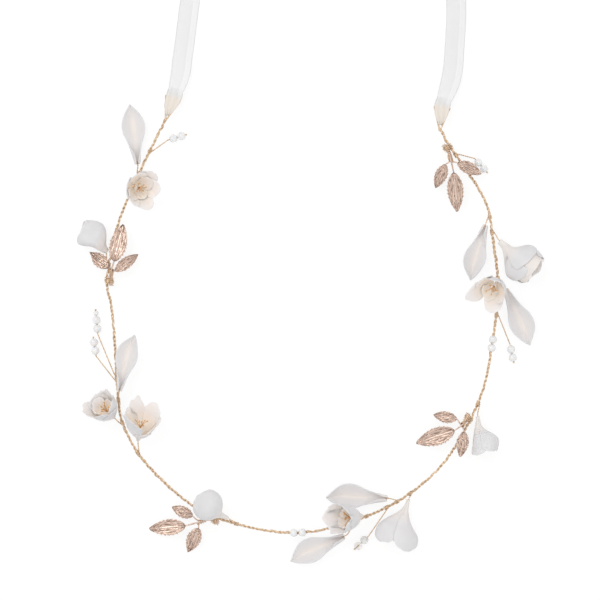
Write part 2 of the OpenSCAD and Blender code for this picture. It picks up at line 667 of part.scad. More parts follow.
for (i = [1:len(flowers)]) {
    flower(flowers[i - 1]);
    flower_wire(flowers[i - 1]);
}
for (i = [1:len(white_leaves)]) {
    white_leaf(white_leaves[i - 1]);
    leaf_stem(white_leaves[i - 1]);
}
for (i = [1:len(gold_sprays)])
    gold_leaves(gold_sprays[i - 1]);
for (i = [1:len(sprigs)]) {
    sprig_beads(sprigs[i - 1]);
    sprig_wire(sprigs[i - 1]);
}
vine_left();
vine_front();
vine_right();
binding(gold_sprays[0]);  // binding_left
union() {  // binding_front
    binding(gold_sprays[1]);
    binding(gold_sprays[2]);
}
binding(gold_sprays[3]);  // binding_right
vine_beads(front_beads);  // vine_beads_front
vine_beads(right_beads);  // vine_beads_right
ribbon(left_route, left_tail);  // ribbon_left
ribbon_roll(left_route, 1);  // ribbon_left_roll
ribbon_band(left_route, 1);  // ribbon_left_band
ribbon(right_route, right_tail);  // ribbon_right
ribbon_roll(right_route, -1);  // ribbon_right_roll
ribbon_band(right_route, -1);  // ribbon_right_band

// Printed values: the least gaps of the wound pieces, the ribbons' lengths and the joints' places
function line_length(points) = len(points) < 2 ? 0
    : norm(points[1] - points[0]) + (len(points) > 2 ? line_length([for (i = [1:len(points) - 1]) points[i]]) : 0);
function route_line(route) = [for (p = route) [p.x, p.y, p.z]];
echo(binding_gaps = [for (g = gold_sprays) least_gap(binding_line(g), binding_rings / 2 + 1, binding_d)]);
echo(roll_gap = least_gap(roll_line(left_route, 1), roll_rings / 2, ribbon_t));
echo(left_ribbon_length = line_length(route_line(left_route)) + line_length(roll_line(left_route, 1)));
echo(right_ribbon_length = line_length(route_line(right_route)) + line_length(roll_line(right_route, -1)));
for (i = [1:len(flowers)]) {
    f = flowers[i - 1];
    echo(joint = str("flower_", i), at = vine_at(f[0]), axis = lift_axis(f[0], stamen_root(f)));
}
for (i = [1:len(white_leaves)]) {
    l = white_leaves[i - 1];
    head = l[1] + l[4] / 2 * aim(l[2], l[3]);
    echo(joint = str("white_leaf_", i), at = vine_at(l[0]), axis = lift_axis(l[0], head));
}
for (i = [1:len(sprigs)]) {
    s = sprigs[i - 1];
    echo(joint = str("sprig_", i), at = vine_at(s[0]), axis = lift_axis(s[0], bead_middle(s[1][0])));
}
echo(joint = "vine_beads_front", at = vine_at(front_beads), axis = vine_dir(front_beads));
echo(joint = "vine_beads_right", at = vine_at(right_beads), axis = vine_dir(right_beads));
echo(joint = "arm_left", at = vine_at(bend_left), axis = [0, 0, 1]);
echo(joint = "arm_right", at = vine_at(bend_right), axis = [0, 0, -1]);
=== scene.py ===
"""Flower crown: the looks of its pieces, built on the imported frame.

The crown is a twisted gold wire with white flowers, white leaves, embossed gold leaves and beads
bound on it, and a sheer ribbon tie at each end. Points and sizes in the tables are in millimetres,
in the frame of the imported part, and each finished mesh is brought to metres.
"""

import math

import bmesh
import bpy
from bpy.props import FloatProperty, FloatVectorProperty, IntProperty, PointerProperty
from mathutils import Matrix, Vector, noise
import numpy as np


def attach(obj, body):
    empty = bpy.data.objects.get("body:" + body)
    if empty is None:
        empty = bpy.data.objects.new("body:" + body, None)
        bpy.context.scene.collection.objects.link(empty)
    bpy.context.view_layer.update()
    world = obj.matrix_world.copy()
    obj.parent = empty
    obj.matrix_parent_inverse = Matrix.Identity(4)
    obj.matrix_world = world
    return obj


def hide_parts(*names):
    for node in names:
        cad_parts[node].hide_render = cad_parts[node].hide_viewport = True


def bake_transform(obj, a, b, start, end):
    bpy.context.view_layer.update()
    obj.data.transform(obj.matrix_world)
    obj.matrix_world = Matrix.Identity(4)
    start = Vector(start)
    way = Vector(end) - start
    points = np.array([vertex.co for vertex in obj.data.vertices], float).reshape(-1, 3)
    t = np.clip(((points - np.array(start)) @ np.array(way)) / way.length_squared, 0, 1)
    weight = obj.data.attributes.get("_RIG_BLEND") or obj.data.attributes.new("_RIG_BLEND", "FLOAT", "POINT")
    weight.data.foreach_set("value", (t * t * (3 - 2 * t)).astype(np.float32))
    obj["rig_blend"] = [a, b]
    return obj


bl_info = {
    "name": "Flower crown",
    "version": (1, 0, 0),
    "blender": (4, 5, 0),
    "location": "View3D > Sidebar > Crown",
    "description": "Makes the pieces of a flower crown on its packed frame",
    "category": "Object",
}

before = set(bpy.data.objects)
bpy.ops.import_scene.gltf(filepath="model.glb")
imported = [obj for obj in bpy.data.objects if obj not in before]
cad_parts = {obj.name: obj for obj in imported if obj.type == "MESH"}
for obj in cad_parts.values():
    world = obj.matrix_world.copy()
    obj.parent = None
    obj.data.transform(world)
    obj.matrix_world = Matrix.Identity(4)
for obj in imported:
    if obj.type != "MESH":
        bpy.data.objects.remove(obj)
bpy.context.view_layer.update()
MM = 0.001

# Sizes that the pieces share with the solids
VINE_R = 0.7
VINE_H = 5.0
WRAP_L = 2.4
WRAP_TOP = 1.0
STEM_R = 0.4
NECK_R = 1.2
SLEEVE_R = 0.75 * NECK_R
STALK_PLAY = 0.2
STALK_SPREAD = 0.577
BUNDLE_R = 0.977
BUNDLE_OFFSET = VINE_R + BUNDLE_R + STALK_PLAY
BINDING_L = 3.8
STALK_REACH = BINDING_L / 2 + 0.6
BINDING_GROW = 0.55
BEAD_D = 4.0
SMALL_BEAD_D = 2.6
BEAD_SPACE = 0.1
VINE_BORE_PLAY = 0.25
STEM_BORE_PLAY = 0.1
LOOP_W = 7.0
LOOP_L = 9.5
LOOP_WIRE_R = 0.45
RIBBON_W = 9.5
RIBBON_T = 0.3
RIBBON_PLAY = 0.1
ROLL_R = 25.0
ROLL_PITCH = 4.2
ROLL_TURNS = 2.75
ROLL_LIFT = 0.4

# Radii of the finer wires, knots and stamens, which only the looks have
THIN_STRAND_R = 0.17
LOOP_STRAND_R = 0.42
CORNER_WIRE_R = 0.24
STEM_STRAND_R = 0.18
STEM_TWIST_R = 0.34
BINDING_WIRE_R = 0.22
LASHING_WIRE_R = 0.2
KNOT_R = 0.5
STAMEN_R = 0.15
STAMEN_TIP_R = 0.34
STAMEN_BALL_R = 0.8
# Steps along lines, and faces of the sheets, across and along
VINE_STEP = 0.32
LOOP_STEP = 0.35
STEM_STEP = 0.3
STALK_STEP = 0.4
RIBBON_STEP = 1.0
RIBBON_FACES = 12
TAIL_FACES = 8
PETAL_FACES = (16, 20)
LEAF_FACES = (26, 56)
GOLD_FACES = (30, 96)
# Way from a flower's neck to the root of its stamens as a share of its length, distance between layers
# of petals, least height of a petal, and distance at which points become one
STAMEN_ROOT = 0.22
PETAL_LAYER = 0.55
PETAL_LOWEST = 0.3
MERGE_GAP = 0.0005
UP = Vector((0, 0, 1))

# Width, distance and middle of the picture
VIEW_W = 288.0
VIEW_DISTANCE = 2000.0
VIEW_MIDDLE = Vector((-4.8, 14.4, 8.0))
# Half the floor's width in metres, its gap under the crown, and the brightness of the surroundings
FLOOR_SIZE = 4
FLOOR_GAP = 0.05
WORLD_STRENGTH = 0.84

# Middle line of the main wire, the places on it, counted in points, where the arms bend and the
# threaded beads sit, and the turns of the end loops
VINE = [
    (-69, 102), (-82, 75.5), (-92.5, 50), (-97.5, 24.5), (-95.5, 11.5), (-94, -4), (-92, -35),
    (-89, -47.5), (-79, -64), (-57, -84), (-34.5, -93.5), (-8, -97.5), (16, -93.5), (42, -82.5),
    (62, -66.5), (75, -47), (83.5, -27.5), (88, -4), (90.5, 20), (88, 43), (85, 60), (76.5, 75),
    (67, 88.5), (62.5, 97),
]
VINE_END = len(VINE) - 1
BEND_LEFT = 3.76
BEND_RIGHT = 16.16
FRONT_BEADS = 11.09
RIGHT_BEADS = 16.89
LOOP_TURNS = {"left": 71, "right": 84}

# Place on the main wire, neck [x, y, rise over the wire], turn, tilt, length, cup radius, share of
# the length in the neck, spin of the stamens and straight end of the stem
FLOWERS = [
    (1.25, (-84.5, 69, 2.9), -20, 62, 14, 7, 0.06, 10, 1.2),
    (2.7, (-98.5, 38.5, 0), 145, 9.5, 13, 6.2, 0.14, 30, 0.8),
    (6.77, (-94.3, -42, 1), 133, 35, 13.5, 7, 0.08, 20, 1.5),
    (7.71, (-82.4, -51.8, 2), 79, 40, 17, 7.6, 0.1, 0, 3),
    (9.96, (-40.8, -89.5, 3.2), 145, 30, 18, 7, 0.12, 15, 2),
    (12.42, (24.5, -89.3, 3.2), 185, 38, 16, 6.6, 0.1, 36, 1.2),
    (13.27, (47, -82.8, 0.2), -100, 9, 22.5, 7, 0.2, 12, 1.5),
    (15.62, (80.8, -42.7, 0.2), -78, 6.5, 15.5, 5.6, 0.14, 24, 2),
    (18.2, (89.3, 23.5, 2.9), -115, 55, 14, 7.4, 0.06, 0, 0.7),
    (19.21, (92.6, 41.5, 0.2), -37, 9, 19.5, 7, 0.18, 18, 2),
]
# For each flower: how far its cup opens to a bowl, its mouth radius, the depth of the notches between
# its petals, how far it reaches back over its stem, and then its petals: angle round the flower (180
# faces up), half the width in degrees, share of the length, slant of the end, outward lean of the tip
# in millimetres, how pointed it is and its layer, counted outwards. The size of its inner petals and
# these petals follow in the same way.
PETALS = [
    (1, 9, 0.42, 0, (
        (20, 44, 0.84, 0, 0.4, 0.3, 0), (78, 40, 0.9, 0, 0.8, 0.4, 1), (128, 46, 0.8, 0, 0.2, 0.1, 0),
        (196, 44, 0.86, 0, 0.6, 0.4, 1), (258, 34, 0.95, 0, 0.4, 0.9, 0),
        (306, 38, 0.96, 0, 0.6, 0.7, 1)),
     0.86, (
        (50, 48, 0.62, 0, 0.6, 0.3, 1), (245, 42, 0.62, 0, 0.6, 0.5, 1),
        (325, 40, 0.52, 0, 0.2, 0.3, 0))),
    (0.1, 5.6, 0.06, 0.12, (
        (0, 70, 1.06, 0, 0, 0, 0), (90, 60, 0.97, 0, 0, 0, 1), (185, 84, 1.2, 0.1, 0, 0, 2),
        (275, 60, 1.22, 0, 0, 0, 1)),
     0, ()),
    (0.45, 7.3, 0.26, 0, (
        (0, 54, 0.94, 0, 0, 0, 0), (70, 54, 1, 0, 1, 0, 0.7), (130, 48, 0.8, 0, 0.2, 0, 1.4),
        (180, 44, 0.56, 0, 0, 0, 2.1), (232, 48, 0.8, 0, -0.4, 0.1, 1.4),
        (290, 52, 0.96, 0, -0.2, 0.2, 0.7)),
     0.66, (
        (25, 56, 0.84, 0, 0.5, 0.2, 1), (300, 40, 0.66, 0, 0.2, 0.1, 0))),
    (0.55, 9, 0.36, 0.1, (
        (25, 27, 1.12, 0, 0.6, 0.8, 0.7), (76, 54, 0.84, 0, 1, 0.3, 0), (144, 50, 1.16, 0, 1, 0.5, 0.7),
        (205, 46, 0.5, 0, 0, 0.1, 1.4), (264, 48, 0.84, 0, 1.2, 0.2, 0.7),
        (320, 38, 1.03, 0, 0.8, 0.3, 0)),
     0, ()),
    (0, 0.8, 0.04, 0.1, (
        (40, 60, 1.02, 0, 0, 0.1, 1), (100, 60, 0.9, 0, 0, 0.1, 0), (180, 104, 1.08, 0, 0, 0, 2),
        (280, 60, 0.9, 0, 0, 0.1, 1), (340, 60, 1.02, 0, 0, 0.1, 0)),
     0, ()),
    (0.5, 6.6, 0.24, 0.05, (
        (0, 48, 1.06, 0, 1, 0, 0), (62, 48, 1, 0, 0.4, 0.1, 0.7), (122, 50, 0.9, 0, 0, 0, 1.4),
        (180, 50, 0.76, 0, -0.4, 0, 2.1), (238, 50, 0.9, 0, 0, 0.1, 1.4), (298, 48, 1, 0, 0.4, 0, 0.7)),
     0.72, (
        (40, 46, 0.7, 0, 0.3, 0.1, 1), (320, 46, 0.62, 0, 0.6, 0, 0))),
    (0.3, 7, 0.3, 0.06, (
        (20, 58, 0.9, 0, 0, 0, 0), (75, 50, 0.88, 0, 0, 0, 1), (138, 60, 1.06, 0.12, 0, 0, 2),
        (251, 56, 0.9, -0.24, 0.4, 0.2, 1), (320, 50, 0.7, 0, 0, 0, 0)),
     0, ()),
    (0.3, 6.6, 0.18, 0.08, (
        (30, 60, 1, 0, 0, 0, 0), (128, 62, 1.12, 0, 0, 0.1, 2), (226, 56, 1.12, -0.04, 0, 0.1, 1),
        (310, 60, 1, 0, 0, 0, 0)),
     0, ()),
    (0.55, 9, 0.56, 0, (
        (27, 38, 0.96, 0, 0.8, 0.3, 1), (75, 44, 0.82, 0, -1.6, 0.2, 0),
        (125, 46, 0.84, 0, -1.6, 0.2, 1), (190, 46, 0.76, 0, -1.2, 0.1, 0),
        (250, 44, 0.86, 0, 0, 0.3, 1), (306, 34, 1.06, 0, 1.2, 0.4, 2)),
     0.9, ((352, 56, 0.6, 0, 0.6, 0.4, 1),)),
    (0.3, 6.8, 0.16, 0.1, (
        (10, 60, 1.1, 0, 0.2, 0.1, 0), (82, 46, 1.06, 0.04, 0.4, 0.6, 1), (152, 60, 0.83, 0, 0, 0.1, 2),
        (248, 54, 0.88, -0.18, 0, 0.1, 1), (318, 56, 1.04, 0, 0.2, 0.1, 0)),
     0.95, (
        (95, 60, 1.08, 0, 0, 0, 0), (170, 64, 1.08, 0, 0, 0, 1), (248, 62, 1.08, -0.06, 0, 0, 0))),
]
# Half widths of the flowers that lie on their side, to the left and to the right of the axis, at
# every tenth of the length
SIDES = {
    2: ((1.7, 2.0, 2.0, 1.9, 2.0, 2.4, 3.1, 3.8, 4.5, 4.9, 4.8, 4.2, 3.4),
        (1.7, 2.8, 4.6, 6.4, 7.8, 8.8, 9.3, 9.4, 9.1, 8.7, 8.2, 7.5, 6.6)),
    5: ((1.3, 1.9, 2.8, 4.0, 5.6, 6.8, 7.4, 7.2, 6.6, 5.6, 4.0, 1.6, 0.4),
        (1.0, 0.9, 1.0, 3.2, 5.7, 7.0, 7.4, 7.4, 7.0, 5.9, 3.4, 1.0, 0.4)),
    7: ((0.9, 0.8, 0.9, 1.6, 2.4, 3.7, 5.5, 7.2, 7.8, 7.7, 7.1, 6.4, 5.6),
        (0.9, 1.7, 3.2, 5.9, 9.0, 11.3, 12.7, 13.3, 13.2, 12.8, 12.0, 11.0, 10.0)),
    8: ((0.9, 0.7, 0.8, 1.3, 2.5, 4.6, 6.2, 7.2, 7.4, 7.0, 6.4, 5.8, 5.2),
        (1.0, 1.7, 2.4, 3.1, 3.7, 4.2, 4.7, 5.2, 5.7, 6.3, 6.8, 7.0, 7.0)),
    10: ((1.5, 1.5, 1.3, 1.9, 3.9, 6.3, 7.5, 7.8, 7.6, 7.1, 6.5, 5.7, 5.0),
         (1.8, 2.8, 4.6, 6.7, 8.8, 10.8, 11.7, 11.6, 11.2, 10.7, 9.9, 8.8, 7.5)),
}
# Place on the main wire, base [x, y, rise over the wire], turn, tilt, length, half width, straight
# end of the stem, sideways bend of the tip in millimetres and how far each edge rolls up at the base,
# in degrees
WHITE_LEAVES = [
    (1.02, (-82.8, 79.7, 0), 96.7, -4, 29, 5.6, 1, 0.4, 132),
    (5.94, (-91.5, -29.3, 3.2), 78, 2, 28, 5.3, 1.4, -1.6, 132),
    (12.14, (16.5, -99.2, 0), -157.4, -4, 28.5, 6, 2.2, 1.2, 132),
    (12.99, (37.2, -80.9, 0), 176.7, -6, 29.5, 6, 1.6, 1.4, 132),
    (19.64, (84.3, 50.5, 0), -107.5, -4, 27.5, 5.3, 1, 1.2, 132),
    (18.05, (93.8, 19.6, 0), -64, -5, 29.5, 6, 1.2, -1.0, 56),
]
# Half width of a white leaf from its base to its tip, as a share of its widest
LEAF_OUTLINE = [(w, 0) for w in (0.2, 0.29, 0.39, 0.52, 0.71, 0.92, 1.0, 0.95, 0.76, 0.43, 0.02)]
# Place of the binding on the main wire, side of the wire, junction, and then for each leaf its base,
# tip and half width
GOLD_SPRAYS = [
    (3.05, 1, (-95.4, 28.9, 2.2), (
        ((-96.8, 29.8, 2.8), (-105.2, 37, -2.6), 3.4),
        ((-94, 33, 3.4), (-89.6, 50.7, 2.4), 4.3),
        ((-93.6, 28.2, 2.1), (-82.6, 36.5, -0.6), 2.9))),
    (9.54, -1, (-53.2, -92.3, 0), (
        ((-53.6, -95.4, -1), (-58.6, -106.6, -3), 3.6),
        ((-59.8, -94.1, 0.4), (-77.4, -95.8, -2.8), 4.1),
        ((-56.4, -89.6, -0.8), (-66.5, -85.1, -2), 2.9))),
    (15.21, 1, (73.2, -45.6, 1.8), (
        ((74, -49, 2.8), (72.2, -60.8, 2.2), 3.1),
        ((69.4, -48.2, 2.4), (51.1, -54.5, -2), 4.5),
        ((70.6, -42.8, 1), (59.2, -40.9, -2), 2.9))),
    (21.98, 1, (67.6, 81.4, 2.2), (
        ((71, 80.2, 2.8), (82.1, 74.9, 2.2), 3.1),
        ((69, 75.6, 2.6), (70.8, 56.8, -1.6), 4.1),
        ((65.2, 79.6, 1.6), (60.3, 68.2, -1.6), 3.1))),
]
# Place on the main wire, then for each stem the middle of its first bead, the turn of the bead row,
# the bead sizes and which beads are clear
SPRIGS = [
    (0.64, (((-65.8, 92.2), 16, (BEAD_D, BEAD_D), ()),)),
    (5.59, (((-102.4, 0.6), 95, (BEAD_D, BEAD_D, SMALL_BEAD_D), ()),
            ((-103.4, -10), 98, (BEAD_D, BEAD_D), ()))),
    (12.78, (((26.2, -101.2), 223, (BEAD_D, BEAD_D), (1,)),)),
    (17.47, (((96.8, -9.4), -78, (BEAD_D, BEAD_D), ()),)),
    (21.64, (((81, 80.6), -48, (BEAD_D, BEAD_D), ()),)),
]

# Heights of the ribbons' middles, as on the solids
OVER_LOOP = VINE_H + LOOP_WIRE_R + RIBBON_PLAY + RIBBON_T / 2
UNDER_LOOP = VINE_H - LOOP_WIRE_R - RIBBON_PLAY - RIBBON_T / 2
SEAM_TOP = VINE_H + RIBBON_T / 2
SEAM_LOW = VINE_H - RIBBON_T / 2
RIBBON_LIFT = 0.15
ON_TABLE = RIBBON_LIFT + RIBBON_T / 2


def mix(a, b, s):
    """The value at share s of the way from a to b."""
    return a + (b - a) * s


def ease(s):
    """A smooth step from 0 to 1."""
    s = max(0.0, min(1.0, s))
    return s * s * (3 - 2 * s)


def ramp(value, start, width):
    """A smooth step from 0 to 1, over a width that begins at start."""
    return ease((value - start) / width)


def drop(s):
    """A ribbon's height at a share of its way down from the seam to the table."""
    return mix(SEAM_TOP, ON_TABLE, s)


def raised(roll):
    """A ribbon's height where it is turned up by an angle on its way to the standing roll."""
    a = math.radians(roll)
    return (mix(RIBBON_LIFT, ROLL_LIFT, roll / 90) + RIBBON_W / 2 * math.sin(a)
            + RIBBON_T / 2 * math.cos(a))


# Heights, shares of the width and rolls of the ribbons from the end loop to the roll, and of their
# sewn-back ends under the loop
ROUTE_FORM = [
    (OVER_LOOP, 0.23, 0), (OVER_LOOP, 0.44, 0), (OVER_LOOP, 0.63, 0), (SEAM_TOP, 0.7, 0),
    (SEAM_TOP, 0.82, 0), (drop(0.2), 0.93, 0), (drop(0.57), 1, 0), (drop(0.86), 1, 0),
    *[(ON_TABLE, 1, 0)] * 4, *((raised(roll), 1, roll) for roll in (20, 45, 70, 90)),
]
TAIL_FORM = [(UNDER_LOOP, 0.25, 0), (UNDER_LOOP, 0.63, 0), (SEAM_LOW, 0.67, 0), (SEAM_LOW, 0.74, 0)]
# Places of the same, x and y
ROUTES = {
    "left": [
        (-68.5, 103), (-67.5, 106.5), (-65.5, 111.5), (-65, 113.5), (-64, 116.5), (-63, 120),
        (-62, 125), (-61.5, 130), (-60.5, 137), (-59.5, 145), (-58.5, 153), (-57.5, 161), (-57, 169),
        (-57, 177), (-57, 185), (-57, 193)],
    "right": [
        (62.5, 98.5), (63, 102), (63.5, 107), (64, 109), (65, 112), (66.5, 116), (68, 121),
        (69, 126.5), (69.5, 133), (70, 141), (70.5, 150), (70.5, 160), (70.5, 169), (70, 177),
        (70, 185), (70, 193)],
}
TAILS = {
    "left": [(-68.4, 103.4), (-65.5, 111.5), (-65, 113.5), (-64.2, 116)],
    "right": [(62.5, 98.9), (63.5, 107), (64, 109), (64.8, 111.5)],
}
# Sides to which the ribbons roll up
ROLL_SIDES = {"left": 1, "right": -1}


def length_setting(name, description, default):
    """A length, with its default in millimetres."""
    return FloatProperty(
        name=name, description=description, default=default * MM, unit="LENGTH", precision=5)


def colour_setting(name, description, default):
    """A colour."""
    return FloatVectorProperty(
        name=name, description=description, subtype="COLOR", default=default, min=0, max=1)


class CrownSettings(bpy.types.PropertyGroup):
    """Sizes and colours of the crown's pieces"""

    strand_r: length_setting("Strand radius", "Radius of each of the main wire's two strands", 0.34)
    twist: length_setting("Twist", "Length of one turn of the main wire's strands", 4.2)
    coil_r: length_setting("Coil wire radius", "Radius of the thin wire in the wraps", 0.2)
    petal_wall: length_setting("Petal thickness", "Thickness of a flower's petals", 0.36)
    leaf_wall: length_setting("Leaf thickness", "Thickness of a white leaf", 0.55)
    gold_wall: length_setting("Gold leaf thickness", "Thickness of a gold leaf's sheet", 0.4)
    ribbon_wall: length_setting("Ribbon thickness", "Thickness of the ribbons", 0.2)
    stamens: IntProperty(name="Stamens", description="Stamens in a flower", default=8, min=3, max=12)
    gold: colour_setting("Wire gold", "Colour of the gold wire", (0.9, 0.68, 0.47))
    # The leaf gold lies between the painted shade of the grooves and the painted highlight of the ridges
    rose: colour_setting("Leaf gold", "Colour of the gold leaves' ridges", (0.68, 0.5, 0.41))
    white: colour_setting("Petal white", "Colour of the petals and leaves", (0.815, 0.805, 0.815))
    cream: colour_setting(
        "Petal cream", "Warm tint inside the flowers and along the leaves", (0.96, 0.865, 0.785))
    ribbon: colour_setting("Ribbon white", "Colour of the sheer ribbons", (0.92, 0.92, 0.92))


def settings():
    """The crown's settings."""
    return bpy.context.scene.crown_settings


# Lines of points

def curve_point(points, t):
    """A smooth curve through points of any number of values, at place t counted in points."""
    i = min(int(t), len(points) - 2)
    u = t - i
    last = len(points) - 1
    a, b, c, d = (Vector(points[max(0, min(j, last))]) for j in range(i - 1, i + 3))
    return b + 0.5 * u * (c - a + u * (2 * a - 5 * b + 4 * c - d + u * (3 * (b - c) + d - a)))


def vine_at(t):
    """The main wire's middle at place t."""
    p = curve_point(VINE, t)
    return Vector((p.x, p.y, VINE_H))


def vine_dir(t):
    """The main wire's direction at place t."""
    step = 0.01
    return (vine_at(min(t + step, VINE_END)) - vine_at(max(t - step, 0))).normalized()


def on_vine(p):
    """A point given with its rise over the main wire."""
    return Vector((p[0], p[1], VINE_H + p[2]))


def aim(turn, tilt):
    """The direction with that turn in the plane and that tilt out of it."""
    turn, tilt = math.radians(turn), math.radians(tilt)
    return Vector((math.cos(tilt) * math.cos(turn), math.cos(tilt) * math.sin(turn), math.sin(tilt)))


def left_of(d):
    """The level direction to the left of d."""
    return Vector((-d.y, d.x, 0)).normalized()


def even_line(points, step):
    """Evenly spaced points along a line of points."""
    lengths = [0.0]
    for a, b in zip(points, points[1:]):
        lengths.append(lengths[-1] + (b - a).length)
    count = max(2, round(lengths[-1] / step))
    line, i = [], 0
    for k in range(count + 1):
        s = lengths[-1] * k / count
        while i < len(points) - 2 and lengths[i + 1] < s:
            i += 1
        span = lengths[i + 1] - lengths[i]
        line.append(points[i].lerp(points[i + 1], (s - lengths[i]) / span if span else 0))
    return line


def bent_line(start, elbow, end, reach, step):
    """A line from start to end that rounds its elbow within reach of it."""
    most, steps = 0.9, 12
    a, b = (elbow + way.normalized() * min(reach, most * way.length)
            for way in (start - elbow, end - elbow))
    corner = [a.lerp(elbow, k / steps).lerp(elbow.lerp(b, k / steps), k / steps)
              for k in range(steps + 1)]
    return even_line([start, *corner, end], step)


def line_frames(line):
    """Each point of a line with its direction and two directions across it that don't spin."""
    up, frames = UP, []
    for i, p in enumerate(line):
        d = (line[min(i + 1, len(line) - 1)] - line[max(i - 1, 0)]).normalized()
        side = up.cross(d).normalized()
        up = d.cross(side)
        frames.append((p, d, side, up))
    return frames


def wound(line, offset, pitch, phase, wobble=0.0):
    """A strand that winds round an evenly spaced line."""
    strand, s = [], 0.0
    for i, (p, _, side, up) in enumerate(line_frames(line)):
        s += (p - line[i - 1]).length if i else 0
        a = 2 * math.pi * s / pitch + phase
        a += wobble * noise.noise(Vector((s * 0.11, phase, 0.5)))
        r = offset * (1 + 0.25 * wobble * noise.noise(Vector((s * 0.2, phase, 3.5))))
        strand.append(p + r * (math.cos(a) * side + math.sin(a) * up))
    return strand


def stem_start(t, to, shift=0.0):
    """Where a stem that runs to a point leaves its wrap, shifted along it."""
    d = vine_dir(t)
    w = to - vine_at(t)
    out = (w - w.dot(d) * d).normalized()
    return vine_at(t) + shift * d + WRAP_TOP * out


# Meshes

def add_tubes(bm, lines, radii, sides=8, material=0):
    """Round wires along lines of points. radii holds one radius, or a list of them, for each line."""
    data = bpy.data.curves.new("wires", "CURVE")
    data.dimensions = "3D"
    data.bevel_depth = 1
    data.bevel_resolution = sides // 2 - 2
    data.use_fill_caps = True
    for line, radius in zip(lines, radii):
        spline = data.splines.new("POLY")
        spline.points.add(len(line) - 1)
        for i, p in enumerate(line):
            spline.points[i].co = (*p, 1)
            spline.points[i].radius = radius if isinstance(radius, float) else radius[i]
    holder = bpy.data.objects.new("wires", data)
    mesh = bpy.data.meshes.new_from_object(holder)
    before = len(bm.faces)
    bm.from_mesh(mesh)
    bm.faces.ensure_lookup_table()
    for face in bm.faces[before:]:
        face.material_index = material
    bpy.data.objects.remove(holder)
    bpy.data.curves.remove(data)
    bpy.data.meshes.remove(mesh)


def add_ball(bm, place, r, stretch=1.0, along=UP, material=0):
    """A ball, or an egg stretched along a direction."""
    turn = UP.rotation_difference(along).to_matrix().to_4x4()
    size = Matrix.Diagonal((r, r, r * stretch, 1))
    made = bmesh.ops.create_uvsphere(bm, u_segments=14, v_segments=9, radius=1,
                                     matrix=Matrix.Translation(place) @ turn @ size)
    for face in {f for v in made["verts"] for f in v.link_faces}:
        face.material_index = material


def add_bead(bm, place, d, along, hole_r, material=0):
    """A drilled bead: its profile, spun round its hole."""
    r = d / 2
    rim = math.asin(hole_r / r)
    steps, sides = 14, 28
    profile = [Vector((r * math.sin(a), 0, r * math.cos(a)))
               for a in (mix(rim, math.pi - rim, i / steps) for i in range(steps + 1))]
    before = len(bm.faces)
    verts = [bm.verts.new(p) for p in profile]
    edges = [bm.edges.new(pair) for pair in zip(verts, verts[1:] + verts[:1])]
    bmesh.ops.spin(bm, geom=verts + edges, axis=(0, 0, 1), cent=(0, 0, 0),
                   angle=2 * math.pi, steps=sides, use_merge=True)
    bm.faces.ensure_lookup_table()
    faces = bm.faces[before:]
    for face in faces:
        face.material_index = material
    turn = UP.rotation_difference(along).to_matrix().to_4x4()
    bmesh.ops.transform(bm, matrix=Matrix.Translation(place) @ turn,
                        verts=list({v for f in faces for v in f.verts}))


def add_sheet(bm, across, along, place, material=0):
    """A grid whose points go where place(u, s) says, u from -1 to 1 across and s from 0 to 1 along.
    place gives the point and the values of the mesh's float layers. The grid's UV map is u, s."""
    uv = bm.loops.layers.uv.verify()
    grid = bmesh.ops.create_grid(bm, x_segments=across, y_segments=along, size=1)
    spots = {}
    for v in grid["verts"]:
        u, s = v.co.x, (v.co.y + 1) / 2
        spots[v] = (u / 2 + 0.5, s)
        v.co, values = place(u, s)
        for name, value in values.items():
            v[bm.verts.layers.float[name]] = value
    for face in {f for v in grid["verts"] for f in v.link_faces}:
        face.material_index = material
        for loop in face.loops:
            loop[uv].uv = spots[loop.vert]


def sheet_mesh(*layers):
    """A new mesh for sheets, with its float layers."""
    bm = bmesh.new()
    for name in layers:
        bm.verts.layers.float.new(name)
    return bm


def finish_piece(name, bm, materials, nodes, body=None, closed=True):
    """Makes the mesh a piece in metres, in place of its CAD nodes. It rides on its body."""
    bmesh.ops.remove_doubles(bm, verts=bm.verts, dist=MERGE_GAP)
    if closed:
        bmesh.ops.recalc_face_normals(bm, faces=bm.faces)
    bmesh.ops.scale(bm, vec=(MM, MM, MM), verts=bm.verts)
    mesh = bpy.data.meshes.new(name)
    for material in materials:
        mesh.materials.append(material)
    bm.to_mesh(mesh)
    bm.free()
    mesh.shade_smooth()
    piece = bpy.data.objects.new(name, mesh)
    bpy.context.scene.collection.objects.link(piece)
    if body:
        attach(piece, body)
    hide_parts(*nodes)
    return piece


def give_wall(piece, thickness, inner_material=0, offset=-1.0, rounds=1):
    """Gives a sheet its thickness, by default on the side its faces turn away from, and smooths it."""
    wall = piece.modifiers.new("Wall", "SOLIDIFY")
    wall.thickness = thickness
    wall.offset = offset
    wall.material_offset = inner_material
    if rounds:
        soft = piece.modifiers.new("Soft", "SUBSURF")
        soft.levels = soft.render_levels = rounds


# Materials

